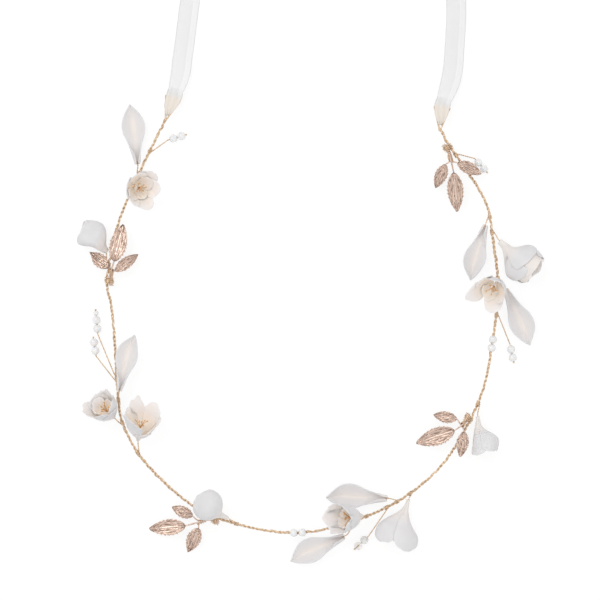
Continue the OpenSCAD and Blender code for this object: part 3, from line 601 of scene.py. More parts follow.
class Finish:
    """A material and its nodes."""

    def __init__(self, name, **inputs):
        material = bpy.data.materials.new(name)
        material.use_nodes = True
        self.material, self.tree = material, material.node_tree
        self.shader = self.tree.nodes["Principled BSDF"]
        for key, value in inputs.items():
            self.shader.inputs[key.replace("_", " ")].default_value = value

    def node(self, kind, links=None, inputs=None, **values):
        """A new node, with its values, its inputs' constants and links to its inputs."""
        made = self.tree.nodes.new("ShaderNode" + kind)
        for key, value in values.items():
            setattr(made, key, value)
        for key, value in (inputs or {}).items():
            made.inputs[key].default_value = value
        for key, source in (links or {}).items():
            self.tree.links.new(source, made.inputs[key])
        return made

    def link(self, source, key):
        """Links a node's output to the shader."""
        self.tree.links.new(source, self.shader.inputs[key])

    def place(self):
        """The piece's own coordinates, in metres."""
        return self.node("TexCoord").outputs["Object"]

    def across(self):
        """The piece's UV map, as two values."""
        uv = self.node("UVMap")
        split = self.node("SeparateXYZ", {"Vector": uv.outputs["UV"]})
        return split.outputs["X"], split.outputs["Y"]

    def value(self, name):
        """A float layer of the mesh."""
        return self.node("Attribute", attribute_name=name).outputs["Fac"]

    def grain(self, scale, detail=2.0, vector=None):
        """Noise at a number of grains a metre, from 0 to 1."""
        return self.node("TexNoise", {"Vector": vector or self.place()},
                         {"Scale": scale, "Detail": detail}).outputs["Fac"]

    def lines(self, across, along):
        """Fine lines along a sheet: noise with a number of grains across it and along it."""
        u, s = self.across()
        spot = self.node("CombineXYZ", {
            "X": self.math("MULTIPLY", u, across), "Y": self.math("MULTIPLY", s, along)})
        return self.grain(1.0, 2.0, spot.outputs[0])

    def math(self, operation, a, b=0.5):
        """An operation on two values, each a number or an output."""
        made = self.node("Math", operation=operation)
        for i, value in enumerate((a, b)):
            if isinstance(value, (int, float)):
                made.inputs[i].default_value = value
            else:
                self.tree.links.new(value, made.inputs[i])
        return made.outputs[0]

    def span(self, value, low, high, to_low=0.0, to_high=1.0):
        """A value spread from one range to another, and kept inside it."""
        return self.node("MapRange", {"Value": value},
                         {"From Min": low, "From Max": high, "To Min": to_low, "To Max": to_high}
                         ).outputs["Result"]

    def blend(self, share, a, b):
        """A colour between two, each a colour or an output."""
        made = self.node("Mix", {"Factor": share}, data_type="RGBA")
        for i, colour in ((6, a), (7, b)):
            if isinstance(colour, bpy.types.NodeSocket):
                self.tree.links.new(colour, made.inputs[i])
            else:
                made.inputs[i].default_value = (*colour, 1)
        return made.outputs[2]

    def bump(self, height, distance, strength=0.5):
        """Relief on the shader's normal, at a height in metres."""
        made = self.node("Bump", {"Height": height}, {"Distance": distance, "Strength": strength})
        self.link(made.outputs["Normal"], "Normal")


def shade(colour, share):
    """A colour made darker, or lighter above 1."""
    return tuple(min(1.0, c * share) for c in colour)


def finish(name, **inputs):
    """Turns a function that fills in a finish into one that gives its material, made on first use."""
    def turn(fill):
        def give():
            if name not in bpy.data.materials:
                fill(Finish(name, **inputs))
            return bpy.data.materials[name]
        return give
    return turn


# How the white petals and leaves let light through
WAX = {"Subsurface_Weight": 0.7, "Subsurface_Scale": 0.35 * MM, "Subsurface_Radius": (1.0, 1.0, 1.0)}


@finish("gold wire finish", Metallic=1.0, Roughness=0.3)
def gold_wire(f):
    """Polished pale gold wire, a little darker here and there."""
    gold = settings().gold
    tone = f.span(f.grain(900, 3), 0.35, 0.65)
    f.link(f.blend(tone, shade(gold, 0.66), gold), "Base Color")
    f.link(f.span(f.grain(2600, 2), 0.3, 0.7, 0.22, 0.42), "Roughness")
    f.bump(f.grain(5000, 2), 0.05 * MM, 0.25)


@finish("stamen gold finish", Metallic=0.85, Roughness=0.35)
def stamen_gold(f):
    """Deep yellow gold of the stamens and their tips."""
    tone = f.span(f.grain(1800, 2), 0.35, 0.65)
    f.link(f.blend(tone, (0.66, 0.36, 0.13), (0.95, 0.62, 0.27)), "Base Color")
    f.bump(f.grain(6000, 1), 0.06 * MM, 0.3)


@finish("rose gold finish", Metallic=0.9, Roughness=0.36)
def rose_gold(f):
    """Embossed rose gold: a painted highlight on the ridges and painted shade in the grooves."""
    rose = settings().rose
    # The ridge layer paints shade into the grooves and a highlight onto the ridges, made uneven by noise
    ridge_jitter = f.span(f.grain(700, 4), 0.3, 0.7, -0.18, 0.18)
    ridge = f.math("ADD", f.value("ridge"), ridge_jitter)
    low = f.blend(f.span(ridge, 0.05, 0.5), shade(rose, 0.42), rose)
    f.link(f.blend(f.span(ridge, 0.55, 1.0), low, (0.84, 0.68, 0.58)), "Base Color")
    f.link(f.span(ridge, 0.1, 0.9, 0.5, 0.26), "Roughness")
    f.bump(f.grain(3200, 3), 0.08 * MM, 0.35)


@finish("white petal finish", Roughness=0.55, **WAX)
def petal_white(f):
    """Matte white petal, with fine lines along it and a faint warm neck. Its white is kept darker than
    inside the flower, as painted shade on the outside.
    """
    white = settings().white
    cloud = f.span(f.grain(160, 2), 0.35, 0.65)
    # A darker copy of the petal white: painted shade on the outside of the petals
    body = f.blend(cloud, shade(white, 0.91), shade(white, 0.95))
    warm = f.math("MULTIPLY", f.span(f.value("warm"), 0.45, 1.0), 0.45)
    f.link(f.blend(warm, body, settings().cream), "Base Color")
    f.bump(f.lines(26, 2.5), 0.18 * MM, 0.35)


@finish("petal inside finish", Roughness=0.6, **WAX)
def petal_cream(f):
    """The inside of a petal: white at its edge and cream to peach in its depth. Both are lighter than the
    outside, as painted light that brightens the hollow of the cup.
    """
    s = settings()
    patch = f.math("ADD", f.value("warm"), f.span(f.grain(240, 2), 0.3, 0.7, -0.16, 0.16))
    # A lighter copy of the petal white, and a light cream: painted light in the hollow of the cup
    f.link(f.blend(f.span(patch, -0.25, 0.7), shade(s.white, 1.04), s.cream), "Base Color")
    f.bump(f.lines(26, 2.5), 0.2 * MM, 0.4)


@finish("white leaf finish", Roughness=0.5, **WAX)
def leaf_white(f):
    """Matte white leaf with a cream midline and fine lines along it."""
    s = settings()
    warm = f.math("MULTIPLY", f.value("warm"), f.span(f.grain(220, 2), 0.25, 0.75, 0.45, 1.0))
    ivory = tuple(c * w for c, w in zip(s.white, (0.95, 0.925, 0.9)))
    body = f.blend(f.value("edge"), ivory, shade(s.white, 0.92))
    f.link(f.blend(f.math("MULTIPLY", warm, 0.6), body, s.cream), "Base Color")
    f.bump(f.lines(22, 3), 0.15 * MM, 0.35)


@finish("milk bead finish", Roughness=0.12, Subsurface_Weight=0.5, Subsurface_Scale=1.5 * MM,
        Subsurface_Radius=(1.0, 0.9, 0.8), Coat_Weight=0.4, Coat_Roughness=0.05)
def milk_bead(f):
    """Milky translucent glass."""
    swirl = f.span(f.grain(420, 3), 0.35, 0.65)
    f.link(f.blend(swirl, (0.8, 0.79, 0.79), (0.9, 0.9, 0.9)), "Base Color")


@finish("clear bead finish", Roughness=0.04, Transmission_Weight=1.0, IOR=1.5)
def clear_bead(f):
    """Clear glass with a faint warm tint."""
    tint = f.span(f.grain(500, 2), 0.3, 0.7)
    f.link(f.blend(tint, (0.84, 0.8, 0.76), (0.9, 0.88, 0.86)), "Base Color")


@finish("organza finish", Roughness=0.45, Sheen_Weight=0.3, Sheen_Roughness=0.4)
def organza(f):
    """Sheer ribbon: a fine weave with a denser strip along one edge and ivory gathers at the loop."""
    white = settings().ribbon
    weft_threads, warp_threads = 1400, 34
    across, along = f.across()
    strip = f.span(across, 0.66, 0.69)
    left = f.span(across, 0.03, 0.015)
    body = f.blend(strip, white, shade(white, 1.03))
    body = f.blend(left, body, shade(white, 0.93))
    f.link(f.blend(f.value("gather"), body, (0.84, 0.77, 0.69)), "Base Color")
    weft = f.math("SINE", f.math("MULTIPLY", along, 2 * math.pi * weft_threads))
    warp = f.math("SINE", f.math("MULTIPLY", across, 2 * math.pi * warp_threads))
    weave = f.math("ADD", f.math("MULTIPLY", weft, 0.25), f.math("MULTIPLY", warp, 0.25))
    solid = f.math("MAXIMUM", f.math("MULTIPLY", strip, 0.22), f.value("gather"))
    f.link(f.math("ADD", f.span(solid, 0, 1, 0.72, 0.97), f.math("MULTIPLY", weave, 0.1)), "Alpha")
    f.bump(weave, 0.05 * MM, 0.3)


@finish("paper band finish", Roughness=0.85)
def paper_band(f):
    """Plain uncoated paper."""
    fibre = f.span(f.grain(1500, 4), 0.3, 0.7)
    f.link(f.blend(fibre, (0.76, 0.74, 0.7), (0.84, 0.82, 0.78)), "Base Color")
    f.bump(f.grain(3000, 3), 0.05 * MM, 0.4)


@finish("floor white")
def floor_white(f):
    """A floor that is white to the eye and in reflections, and keeps a faint shadow."""
    f.tree.nodes.remove(f.shader)
    rays = f.node("LightPath").outputs
    seen = rays["Is Camera Ray"]
    for key in ("Is Glossy Ray", "Is Transmission Ray"):
        seen = f.math("MAXIMUM", seen, rays[key])
    plain = f.node("BsdfDiffuse", inputs={"Color": (0.8, 0.8, 0.8, 1)})
    faint = f.node("BsdfDiffuse", inputs={"Color": (0.2, 0.2, 0.2, 1)})
    glow = f.node("Emission", inputs={"Strength": 0.83})
    shown = f.node("AddShader", {0: faint.outputs[0], 1: glow.outputs[0]})
    pick = f.node("MixShader", {0: seen, 1: plain.outputs[0], 2: shown.outputs[0]})
    f.tree.links.new(pick.outputs[0], f.tree.nodes["Material Output"].inputs["Surface"])


# Pieces

class CROWN_OT_stage(bpy.types.Operator):
    """Makes the camera, the light and the white floor"""

    bl_idname = "crown.stage"
    bl_label = "Stage"

    def execute(self, context):
        scene = context.scene
        scene.view_settings.view_transform = "Standard"
        camera = bpy.data.cameras.new("camera")
        camera.sensor_width = 36
        camera.lens = camera.sensor_width * VIEW_DISTANCE / VIEW_W
        camera.clip_end = 100
        eye = bpy.data.objects.new("camera", camera)
        eye.location = (VIEW_MIDDLE + VIEW_DISTANCE * UP) * MM
        scene.collection.objects.link(eye)
        scene.camera = eye

        bm = bmesh.new()
        bmesh.ops.create_grid(bm, x_segments=1, y_segments=1, size=FLOOR_SIZE)
        bmesh.ops.translate(bm, vec=(0, 0, -FLOOR_GAP * MM), verts=bm.verts)
        mesh = bpy.data.meshes.new("floor")
        bm.to_mesh(mesh)
        bm.free()
        floor = bpy.data.objects.new("floor", mesh)
        mesh.materials.append(floor_white())
        scene.collection.objects.link(floor)

        world = bpy.data.worlds.new("world")
        world.use_nodes = True
        back = world.node_tree.nodes["Background"]
        back.inputs["Color"].default_value = (1, 1, 1, 1)
        back.inputs["Strength"].default_value = WORLD_STRENGTH
        scene.world = world
        self.lamp("key light", (-0.55, 0.5, 1.1), 0.7, 3.4)
        self.lamp("fill light", (0.8, -0.5, 0.9), 0.9, 1.2)
        return {"FINISHED"}

    def lamp(self, name, place, size, power):
        """A soft square lamp that looks at the crown's middle."""
        light = bpy.data.lights.new(name, "AREA")
        light.energy = power
        light.size = size
        lamp = bpy.data.objects.new(name, light)
        lamp.location = place
        lamp.rotation_euler = (-Vector(place)).to_track_quat("-Z", "Y").to_euler()
        bpy.context.scene.collection.objects.link(lamp)


class CROWN_OT_ribbons(bpy.types.Operator):
    """Makes the sheer ribbons: the gathered end on the loop, the free stretch and the standing roll"""

    bl_idname = "crown.ribbons"
    bl_label = "Ribbons"

    def execute(self, context):
        for side in ROUTES:
            self.ribbon(side)
        return {"FINISHED"}

    def ribbon(self, side):
        """One ribbon and its band."""
        rows = self.rows(ROUTES[side], ROUTE_FORM, side)
        bm = sheet_mesh("gather")
        add_sheet(bm, RIBBON_FACES, len(rows) - 1, lambda u, s: self.spot(rows, u, s))
        tail = self.rows(TAILS[side], TAIL_FORM)
        add_sheet(bm, TAIL_FACES, len(tail) - 1, lambda u, s: self.spot(tail, u, s))
        name = "ribbon_" + side
        piece = finish_piece(name + "_organza", bm, [organza()], [name, name + "_roll"],
                             side + "_arm", closed=False)
        give_wall(piece, settings().ribbon_wall, offset=0.0, rounds=0)
        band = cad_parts[name + "_band"]
        band.data.materials.clear()
        band.data.materials.append(paper_band())

    def rows(self, places, form, side=None):
        """Evenly spaced rows of a ribbon: x, y, z, share of the width, roll and way along it. With a
        side, the ribbon goes on into its roll."""
        route = [(*place, *row) for place, row in zip(places, form)]
        between, lead, turn = 20, 8, 96
        fine = [curve_point(route, t / between) for t in range(between * (len(route) - 1) + 1)]
        if side:
            start = Vector(route[-1][:3])
            centre = start + Vector((-ROLL_SIDES[side] * ROLL_R, RIBBON_W, 0))
            fine += [Vector((*(start + Vector((0, RIBBON_W * k / lead, 0))), 1, 90))
                     for k in range(1, lead)]
            for i in range(int(ROLL_TURNS * turn) + 1):
                a, r = 2 * math.pi * i / turn, ROLL_R - ROLL_PITCH * i / turn
                p = centre + r * Vector((ROLL_SIDES[side] * math.cos(a), math.sin(a), 0))
                fine.append(Vector((*p, 1, 90)))
        rows, run = [], 0.0
        for i, row in enumerate(fine):
            run += (Vector(row[:3]) - Vector(fine[i - 1][:3])).length if i else 0
            if not rows or run - rows[-1][5] >= RIBBON_STEP or i == len(fine) - 1:
                rows.append((*row, run))
        return rows

    def spot(self, rows, u, s):
        """A ribbon's point and how gathered it is there."""
        i = round(s * (len(rows) - 1))
        a, b = Vector(rows[max(i - 1, 0)][:3]), Vector(rows[min(i + 1, len(rows) - 1)][:3])
        d = (b - a).normalized()
        x, y, z, share, roll, run = rows[i]
        n = left_of(d)
        up = d.cross(n)
        angle = math.radians(roll)
        across = math.cos(angle) * n + math.sin(angle) * up
        face = math.cos(angle) * up - math.sin(angle) * n
        gather = 1 - ramp(share, 0.6, 0.12)
        pleat = 0.3 * (1 - ramp(share, 0.4, 0.6)) * math.sin(u * 7.5 + 0.12 * run)
        wave = 0.12 * ramp(share, 0.9, 0.1) * math.sin(u * 2.2 + 0.05 * run) * (1 - roll / 90)
        spare = mix(-0.5, 0.75, ramp(share, 0.23, 0.3)) * (1 - ramp(share, 0.64, 0.12))
        half = share * RIBBON_W / 2 + spare
        point = Vector((x, y, z)) - u * half * across + (pleat + abs(wave)) * face
        return point, {"gather": gather}


class CROWN_OT_main_wire(bpy.types.Operator):
    """Makes the twisted main wire with its end loops, in two lengths that meet in the front beads"""

    bl_idname = "crown.main_wire"
    bl_label = "Main wire"

    def execute(self, context):
        left_zone, right_zone = 6, 8
        self.length("main_wire_left", 0, FRONT_BEADS, "left", ["vine_left", "vine_front"], BEND_LEFT,
                    left_zone)
        self.length("main_wire_right", FRONT_BEADS, VINE_END, "right", ["vine_right"], BEND_RIGHT,
                    right_zone)
        return {"FINISHED"}

    def length(self, name, start, end, side, nodes, bend, zone):
        """One length of the main wire. It bends within a zone of its bend, with its arm."""
        s = settings()
        strand_r, twist = s.strand_r / MM, s.twist / MM
        between = 40
        count = round((end - start) * between)
        line = even_line([vine_at(mix(start, end, i / count)) for i in range(count + 1)], VINE_STEP)
        offset = VINE_R - strand_r
        strands = [wound(line, offset, twist, phase, wobble=1.3) for phase in (0.0, math.pi)]
        strands.append(wound(line, VINE_R - 0.12, pitch=7.3, phase=1.1, wobble=2.2))
        bm = bmesh.new()
        add_tubes(bm, strands, [strand_r, strand_r, THIN_STRAND_R])
        self.loop(bm, vine_at(0 if side == "left" else VINE_END), LOOP_TURNS[side])
        piece = finish_piece(name, bm, [gold_wire()], nodes)
        along = vine_dir(bend) * (-1 if side == "left" else 1)
        middle = vine_at(bend)
        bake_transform(piece, "front", side + "_arm",
                 start=(middle - zone * along) * MM, end=(middle + zone * along) * MM)

    def loop(self, bm, tip, turn):
        """The end loop: two legs, the bar between them and a wire end turned round each corner."""
        d = aim(turn, 0)
        n = left_of(d)
        a, b = (tip + LOOP_L * d + side * LOOP_W / 2 * n for side in (1, -1))
        root, middle, rounding = tip - 1.5 * d, a.lerp(b, 0.5), 1.4
        ring_r, pitch, back, steps = 0.62, 0.32, 0.3, 7
        legs = bent_line(root, a, middle, rounding, LOOP_STEP)
        legs += bent_line(middle, b, root, rounding, LOOP_STEP)[1:]
        add_tubes(bm, [legs], [LOOP_STRAND_R])
        for corner in (a, b):
            ring = [corner + ring_r * (math.cos(t) * d + math.sin(t) * UP)
                    + pitch / 2 * t / math.pi * n - back * n
                    for t in (k * math.pi / steps for k in range(4 * steps + 1))]
            add_tubes(bm, [ring], [CORNER_WIRE_R], 6)


def cup_radius(h, cup, mouth, share, opening):
    """A flower's radius at a share of its length, from a cup to an open bowl."""
    low, widest = NECK_R * 1.25, 0.6
    share *= 0.6
    if h <= share:
        return mix(SLEEVE_R, low, max(0.0, 0.5 + 0.5 * h / share))
    q = (h - share) / (1 - share)
    if q < widest:
        closed = mix(low, cup, math.sin(math.pi / 2 * q / widest) ** 0.9)
    else:
        closed = mix(cup, mouth, min(1.1, ((q - widest) / (1 - widest)) ** 2.2))
    return mix(closed, mix(low, mouth, q ** (0.95 - 0.35 * opening)), opening)


def half_widths(k, h):
    """The half widths of flower k to the left and right of its axis, at a share of its length."""
    if h < 0:
        return [mix(row[0], SLEEVE_R, min(1, -5 * h)) for row in SIDES[k]]
    return [curve_point([(w, 0) for w in row], 10 * h).x for row in SIDES[k]]


def flower_place(flower):
    """The matrix that brings a flower from its own axis, along Z, to its place."""
    _, neck, turn, tilt = flower[:4]
    return (Matrix.Translation(on_vine(neck)) @ Matrix.Rotation(math.radians(turn), 4, "Z")
            @ Matrix.Rotation(math.radians(90 - tilt), 4, "Y"))


class CROWN_OT_flowers(bpy.types.Operator):
    """Makes the ten white flowers, each of overlapping petals round a slim neck"""

    bl_idname = "crown.flowers"
    bl_label = "White flowers"

    def execute(self, context):
        for k, (flower, petals) in enumerate(zip(FLOWERS, PETALS), 1):
            bm = sheet_mesh("warm")
            for size, rows in ((1.0, petals[4]), (petals[5], petals[6])):
                for i in range(len(rows)):
                    add_sheet(bm, *PETAL_FACES, self.petal(k, flower, petals, rows, i, size))
            name = f"flower_{k}"
            piece = finish_piece(name + "_petals", bm, [petal_white(), petal_cream()], [name],
                                 name, closed=False)
            give_wall(piece, settings().petal_wall, inner_material=1)
        return {"FINISHED"}

    def petal(self, k, flower, petals, rows, i, size):
        """Petal i of a ring. It meets its neighbours at the neck and lies over or under them later."""
        length, cup, share = flower[4:7]
        opening, mouth, notch, sleeve = petals[:4]
        angle, widest, reach, slant, lean, pointed, layer = rows[i]
        before = (angle - rows[i - 1][0]) % 360 / 2 or 180
        after = (rows[(i + 1) % len(rows)][0] - angle) % 360 / 2 or 180
        outer, lying = size == 1, k in SIDES
        start = -sleeve if outer else share + 0.1
        place = flower_place(flower)
        seed = flower[0] * 7.7
        ragged = 0.04 if lying else 0.1

        def spot(u, s):
            low = mix(1 - math.sqrt(1 - u * u * 0.98), abs(u) ** 1.25, pointed)
            rag = ragged * noise.noise(Vector((u * 3.4 + angle, seed, 0.5)))
            h = mix(start, (reach + slant * u) * (1 - (notch * low + rag * s) * s), s)
            spread = ramp(h, start, 0.45)
            a = math.radians(angle + u * mix(min(widest, after if u > 0 else before), widest, spread))
            q = max(0.0, h - share) / (1 - share)
            fold = noise.noise(Vector((1.7 * math.cos(a) + seed, 1.7 * math.sin(a), h * 1.3)))
            deep = wide = size * cup_radius(h, cup, mouth, share, opening)
            grow = PETAL_LAYER * layer * spread + lean * q * q + 0.4 * ramp(s, 0.3, 0.7) * fold
            if lying:
                left, right = half_widths(k, h)
                wide = size * (left if math.sin(a) > 0 else right)
                deep = min(deep, 0.55 * size * (left + right))
                grow = (grow - 0.8 * spread) * (0.5 + 0.5 * ease((1.05 - h) / 0.2))
            else:
                grow += max(0, 0.5 + 0.25 * lean) * ramp(s, 0.72, 0.28) * (0.3 + 0.7 * u * u)
            x, y = (deep + grow) * math.cos(a), (wide + grow) * math.sin(a)
            point = place @ Vector((x, y, length * h - 0.12 * lean * q ** 3))
            point.z = max(point.z, PETAL_LOWEST)
            return point, {"warm": 1 - ramp(h, 0.12, 0.75) if outer or not lying else 1}
        return spot


def add_wrap(bm, t, length=WRAP_L):
    """The close coil of a stem's wire round the main wire."""
    coil_r = settings().coil_r / MM
    turns, steps = round(length / (2.25 * coil_r)), 14
    d = vine_dir(t)
    n = left_of(d)
    up = d.cross(n)
    coil = []
    for i in range(turns * steps + 1):
        a = 2 * math.pi * i / steps
        along = (length - 2 * coil_r) * (i / (turns * steps) - 0.5)
        r = WRAP_TOP - coil_r + 0.06 * math.sin(3.7 * a + t)
        coil.append(vine_at(t) + along * d + r * (math.cos(a) * n + math.sin(a) * up))
    add_tubes(bm, [coil], [coil_r])


def add_stem(bm, line, pitch=2.6):
    """A stem of two thin twisted wires."""
    offset = STEM_TWIST_R - STEM_STRAND_R
    strands = [wound(line, offset, pitch, phase, 0.5) for phase in (0.4, 0.4 + math.pi)]
    add_tubes(bm, strands, [STEM_STRAND_R, STEM_STRAND_R])


class CROWN_OT_flower_wires(bpy.types.Operator):
    """Makes the flowers' stems, wound on the main wire, with their stamens"""

    bl_idname = "crown.flower_wires"
    bl_label = "Flower wires"

    def execute(self, context):
        for k, flower in enumerate(FLOWERS, 1):
            t, neck, turn, tilt, length, _, share, _, straight = flower
            base = on_vine(neck)
            elbow = base - straight * aim(turn, tilt)
            root = flower_place(flower) @ Vector((0, 0, length * (share + STAMEN_ROOT)))
            foot = flower_place(flower) @ Vector((0, 0, 0.4))
            bm = bmesh.new()
            add_wrap(bm, t)
            line = bent_line(stem_start(t, elbow), elbow, base, straight, STEM_STEP)
            add_stem(bm, even_line([*line[:-1], foot, root], STEM_STEP))
            self.stamens(bm, flower, k)
            name = f"flower_wire_{k}"
            finish_piece(name + "_twist", bm, [gold_wire(), stamen_gold(), petal_cream()], [name],
                         f"flower_{k}")
        return {"FINISHED"}

    def stamens(self, bm, flower, k):
        """Curved gold stamens with swollen tips, round a small ball."""
        length, _, share, spin, _ = flower[4:]
        place = flower_place(flower)
        count, joints = settings().stamens, 8
        lines = []

        def put(x, y, z):
            return place @ Vector((x, y, z))

        base = length * (share + STAMEN_ROOT)
        add_ball(bm, put(0, 0, base), STAMEN_BALL_R, material=2)
        for i in range(count):
            a = math.radians(spin + 360 * i / count + 9 * math.sin(5 * i + k))
            lean = math.radians(20 + 10 * math.sin(2.4 * i + k) + (i % 2) * 8)
            reach = 0.36 * length * (0.86 + 0.24 * math.sin(1.7 * i + 0.9 * k))
            line = []
            for j in range(joints + 1):
                s = j / joints
                out = reach * math.sin(lean) * (0.35 * s + 0.65 * s * s)
                twist = a + 0.35 * s * s * math.sin(i + k)
                line.append(put(out * math.cos(twist), out * math.sin(twist),
                                base + reach * math.cos(lean) * s))
            lines.append(line)
            add_ball(bm, line[-1], STAMEN_TIP_R, 1.5, (line[-1] - line[-2]).normalized(), material=1)
        add_tubes(bm, lines, [STAMEN_R] * count, 6, material=1)


class CROWN_OT_white_leaves(bpy.types.Operator):
    """Makes the six white leaves: rolled to a funnel at the stem, open and pointed at the tip"""

    bl_idname = "crown.white_leaves"
    bl_label = "White leaves"

    def execute(self, context):
        for k, leaf in enumerate(WHITE_LEAVES, 1):
            bm = sheet_mesh("warm", "edge")
            add_sheet(bm, *LEAF_FACES, self.blade(leaf))
            name = f"white_leaf_{k}"
            piece = finish_piece(name + "_blade", bm, [leaf_white()], [name], name,
                                 closed=False)
            give_wall(piece, settings().leaf_wall, offset=0.0)
        return {"FINISHED"}

    def blade(self, leaf):
        """A leaf whose cross-section is an arc, almost closed at its base and open further on."""
        _, base, turn, tilt, length, widest, _, sideways, roll = leaf
        place = (Matrix.Translation(on_vine(base)) @ Matrix.Rotation(math.radians(turn), 4, "Z")
                 @ Matrix.Rotation(math.radians(-tilt), 4, "Y"))
        seed = base[0] * 0.37
        open_arc, closed_arc = 26, 176

        def spot(u, s):
            half_w = widest * curve_point(LEAF_OUTLINE, 10 * s).x
            wrap = open_arc + roll * (1 - ease(s / 0.42))
            if u > 0:
                wrap += 0.35 * roll * ease((0.37 - s) / 0.035) * ease(s / 0.2)
            arc = math.radians(min(wrap, closed_arc))
            r = half_w / math.sin(min(arc, math.pi / 2))
            a = u * arc
            lift = 1 + 0.1 * u * (1 - ease(s / 0.4))
            rim = abs(u) ** 3 * 0.35 * ramp(s, 0.4, 0.3)
            ripple = 0.22 * ramp(s, 0.3, 0.4) * noise.noise(Vector((seed, s * 3.0, u * 0.9)))
            crease = 0.25 * math.exp(-(u / 0.1) ** 2) * ramp(s, 0.25, 0.2)
            x = s * length
            y = r * lift * math.sin(a) + sideways * ramp(s, 0.7, 0.3) ** 1.5
            z = r * lift * (1 - math.cos(a)) - crease + rim + ripple
            z += 1.1 * ramp(s, 0.78, 0.22) - 0.6 * r * ease(1 - s / 0.4)
            middle = math.exp(-(u / 0.22) ** 2) * ramp(s, 0.18, 0.2) * (1 - ramp(s, 0.7, 0.25))
            warm = max(middle, 0.5 * ease(1 - s / 0.2))
            return place @ Vector((x, y, z)), {"warm": warm, "edge": abs(u) ** 2.2}
        return spot


class CROWN_OT_leaf_stems(bpy.types.Operator):
    """Makes the white leaves' stems, wound on the main wire"""

    bl_idname = "crown.leaf_stems"
    bl_label = "Leaf stems"

    def execute(self, context):
        for k, (t, base, turn, tilt, _, _, straight, _, _) in enumerate(WHITE_LEAVES, 1):
            d = aim(turn, tilt)
            elbow = on_vine(base) - straight * d
            bm = bmesh.new()
            add_wrap(bm, t)
            end = on_vine(base) + 1.2 * d
            add_stem(bm, bent_line(stem_start(t, elbow), elbow, end, straight, STEM_STEP))
            name = f"leaf_stem_{k}"
            finish_piece(name + "_twist", bm, [gold_wire()], [name], f"white_leaf_{k}")
        return {"FINISHED"}


def in_bundle(p, d, k, spread):
    """The place of stalk k, counted 0 to 2 across the bundle, in a bundle at p that runs along d."""
    n = left_of(d)
    up = d.normalized().cross(n)
    a = math.radians(210 - 120 * k)
    return p + spread * (math.sin(a) * up - math.cos(a) * n)


def bundle_point(spray, along):
    """The middle of a spray's stalks, at a way along the main wire from the binding to the leaves."""
    d = vine_dir(spray[0])
    return vine_at(spray[0]) + spray[1] * BUNDLE_OFFSET * left_of(d) - along * d


class CROWN_OT_gold_leaves(bpy.types.Operator):
    """Makes the four sprays of embossed gold leaves with their stalks"""

    bl_idname = "crown.gold_leaves"
    bl_label = "Gold leaves"

    def execute(self, context):
        bodies = ("left_arm", "front", "front", "right_arm")
        for k, (spray, body) in enumerate(zip(GOLD_SPRAYS, bodies), 1):
            bm = sheet_mesh("ridge")
            for i in range(3):
                add_sheet(bm, *GOLD_FACES, self.blade(spray[3][i], k + 0.31 * i))
            bmesh.ops.solidify(bm, geom=bm.faces[:], thickness=settings().gold_wall / MM)
            self.stalks(bm, spray)
            name = f"gold_leaves_{k}"
            finish_piece(name + "_embossed", bm, [rose_gold()], [name], body)
        return {"FINISHED"}

    def stalks(self, bm, spray):
        """The three stalks, from the binding through the junction to their leaves."""
        ridge = bm.verts.layers.float["ridge"]
        before, between = len(bm.verts), 10
        ends = [bundle_point(spray, -STALK_REACH), bundle_point(spray, STALK_REACH)]
        fork = on_vine(spray[2])
        for i in range(3):
            base, tip, _ = spray[3][i]
            base, tip = on_vine(base), on_vine(tip)
            points = [in_bundle(p, ends[1] - ends[0], i, STALK_SPREAD) for p in ends]
            points += [in_bundle(fork, fork - ends[1], i, 1.4 * STALK_SPREAD)]
            points += [base, base.lerp(tip, 0.14)]
            line = even_line([curve_point(points, t / between)
                              for t in range(between * (len(points) - 1) + 1)], STALK_STEP)
            radii = [mix(0.4, 0.26, ease((j / len(line) - 0.6) / 0.4)) * ease(0.25 + 0.18 * j)
                     for j in range(len(line))]
            add_tubes(bm, [line], [radii])
        # The stalks get ridge values at random, so the finish paints a patchy highlight along them
        bm.verts.ensure_lookup_table()
        for v in bm.verts[before:]:
            v[ridge] = 0.55 + 0.35 * noise.noise(v.co * 1.7)

    def blade(self, leaf, seed):
        """A pointed blade with saw teeth, a midrib, side veins and a beaded edge."""
        base, tip, widest = leaf
        base, tip = on_vine(base), on_vine(tip)
        d = tip - base
        length = d.length
        d = d.normalized()
        n = left_of(d)
        up = d.cross(n)
        tooth_l = 1.9
        teeth = round(length / tooth_l)

        def spot(u, s):
            tooth = (s * teeth + 0.12) % 1
            cut = 1 - 0.2 * tooth * ease(s / 0.12) * (1 - 0.5 * s)
            half_w = max(0.12, widest * 1.04 * math.sin(math.pi * min(1, s) ** 0.8) ** 0.75)
            half_w *= mix(1, cut, ramp(abs(u), 0.72, 0.28))
            vein = (s * teeth * 0.8 - abs(u) * 2.1 + 0.3 * math.sin(seed)) % 1
            side = math.exp(-((vein - 0.5) / 0.17) ** 2) * ramp(abs(u), 0.06, 0.1)
            long_vein = max(
                math.exp(-((abs(u) - c - 0.05 * math.sin(13 * s + seed + 9 * c)) / 0.07) ** 2)
                * (0.75 + 0.5 * noise.noise(Vector((s * 8, c * 7, seed + u))))
                for c in (0.24, 0.48, 0.72))
            rib = math.exp(-(u / 0.09) ** 2)
            rim = ramp(abs(u), 0.84, 0.1)
            ridge = max(rib, 0.4 * side, long_vein, 0.7 * rim)
            height = 0.34 * ridge + 0.12 * noise.noise(Vector((u * 4, s * 14, seed)))
            taper = ease(s / 0.08) * ease((1 - s) / 0.06)
            cup = 0.12 * half_w * abs(u) + 0.5 * math.sin(math.pi * s) * 0.6
            droop = -0.7 * ramp(s, 0.6, 0.4) + 0.35 * math.sin(3 * seed) * u * s
            point = base + s * length * d + u * half_w * n + (cup + droop + height * taper) * up
            # The ridge value also tells the finish where to paint its highlight and its shade
            return point, {"ridge": ridge * taper + 0.12 * (1 - taper)}
        return spot


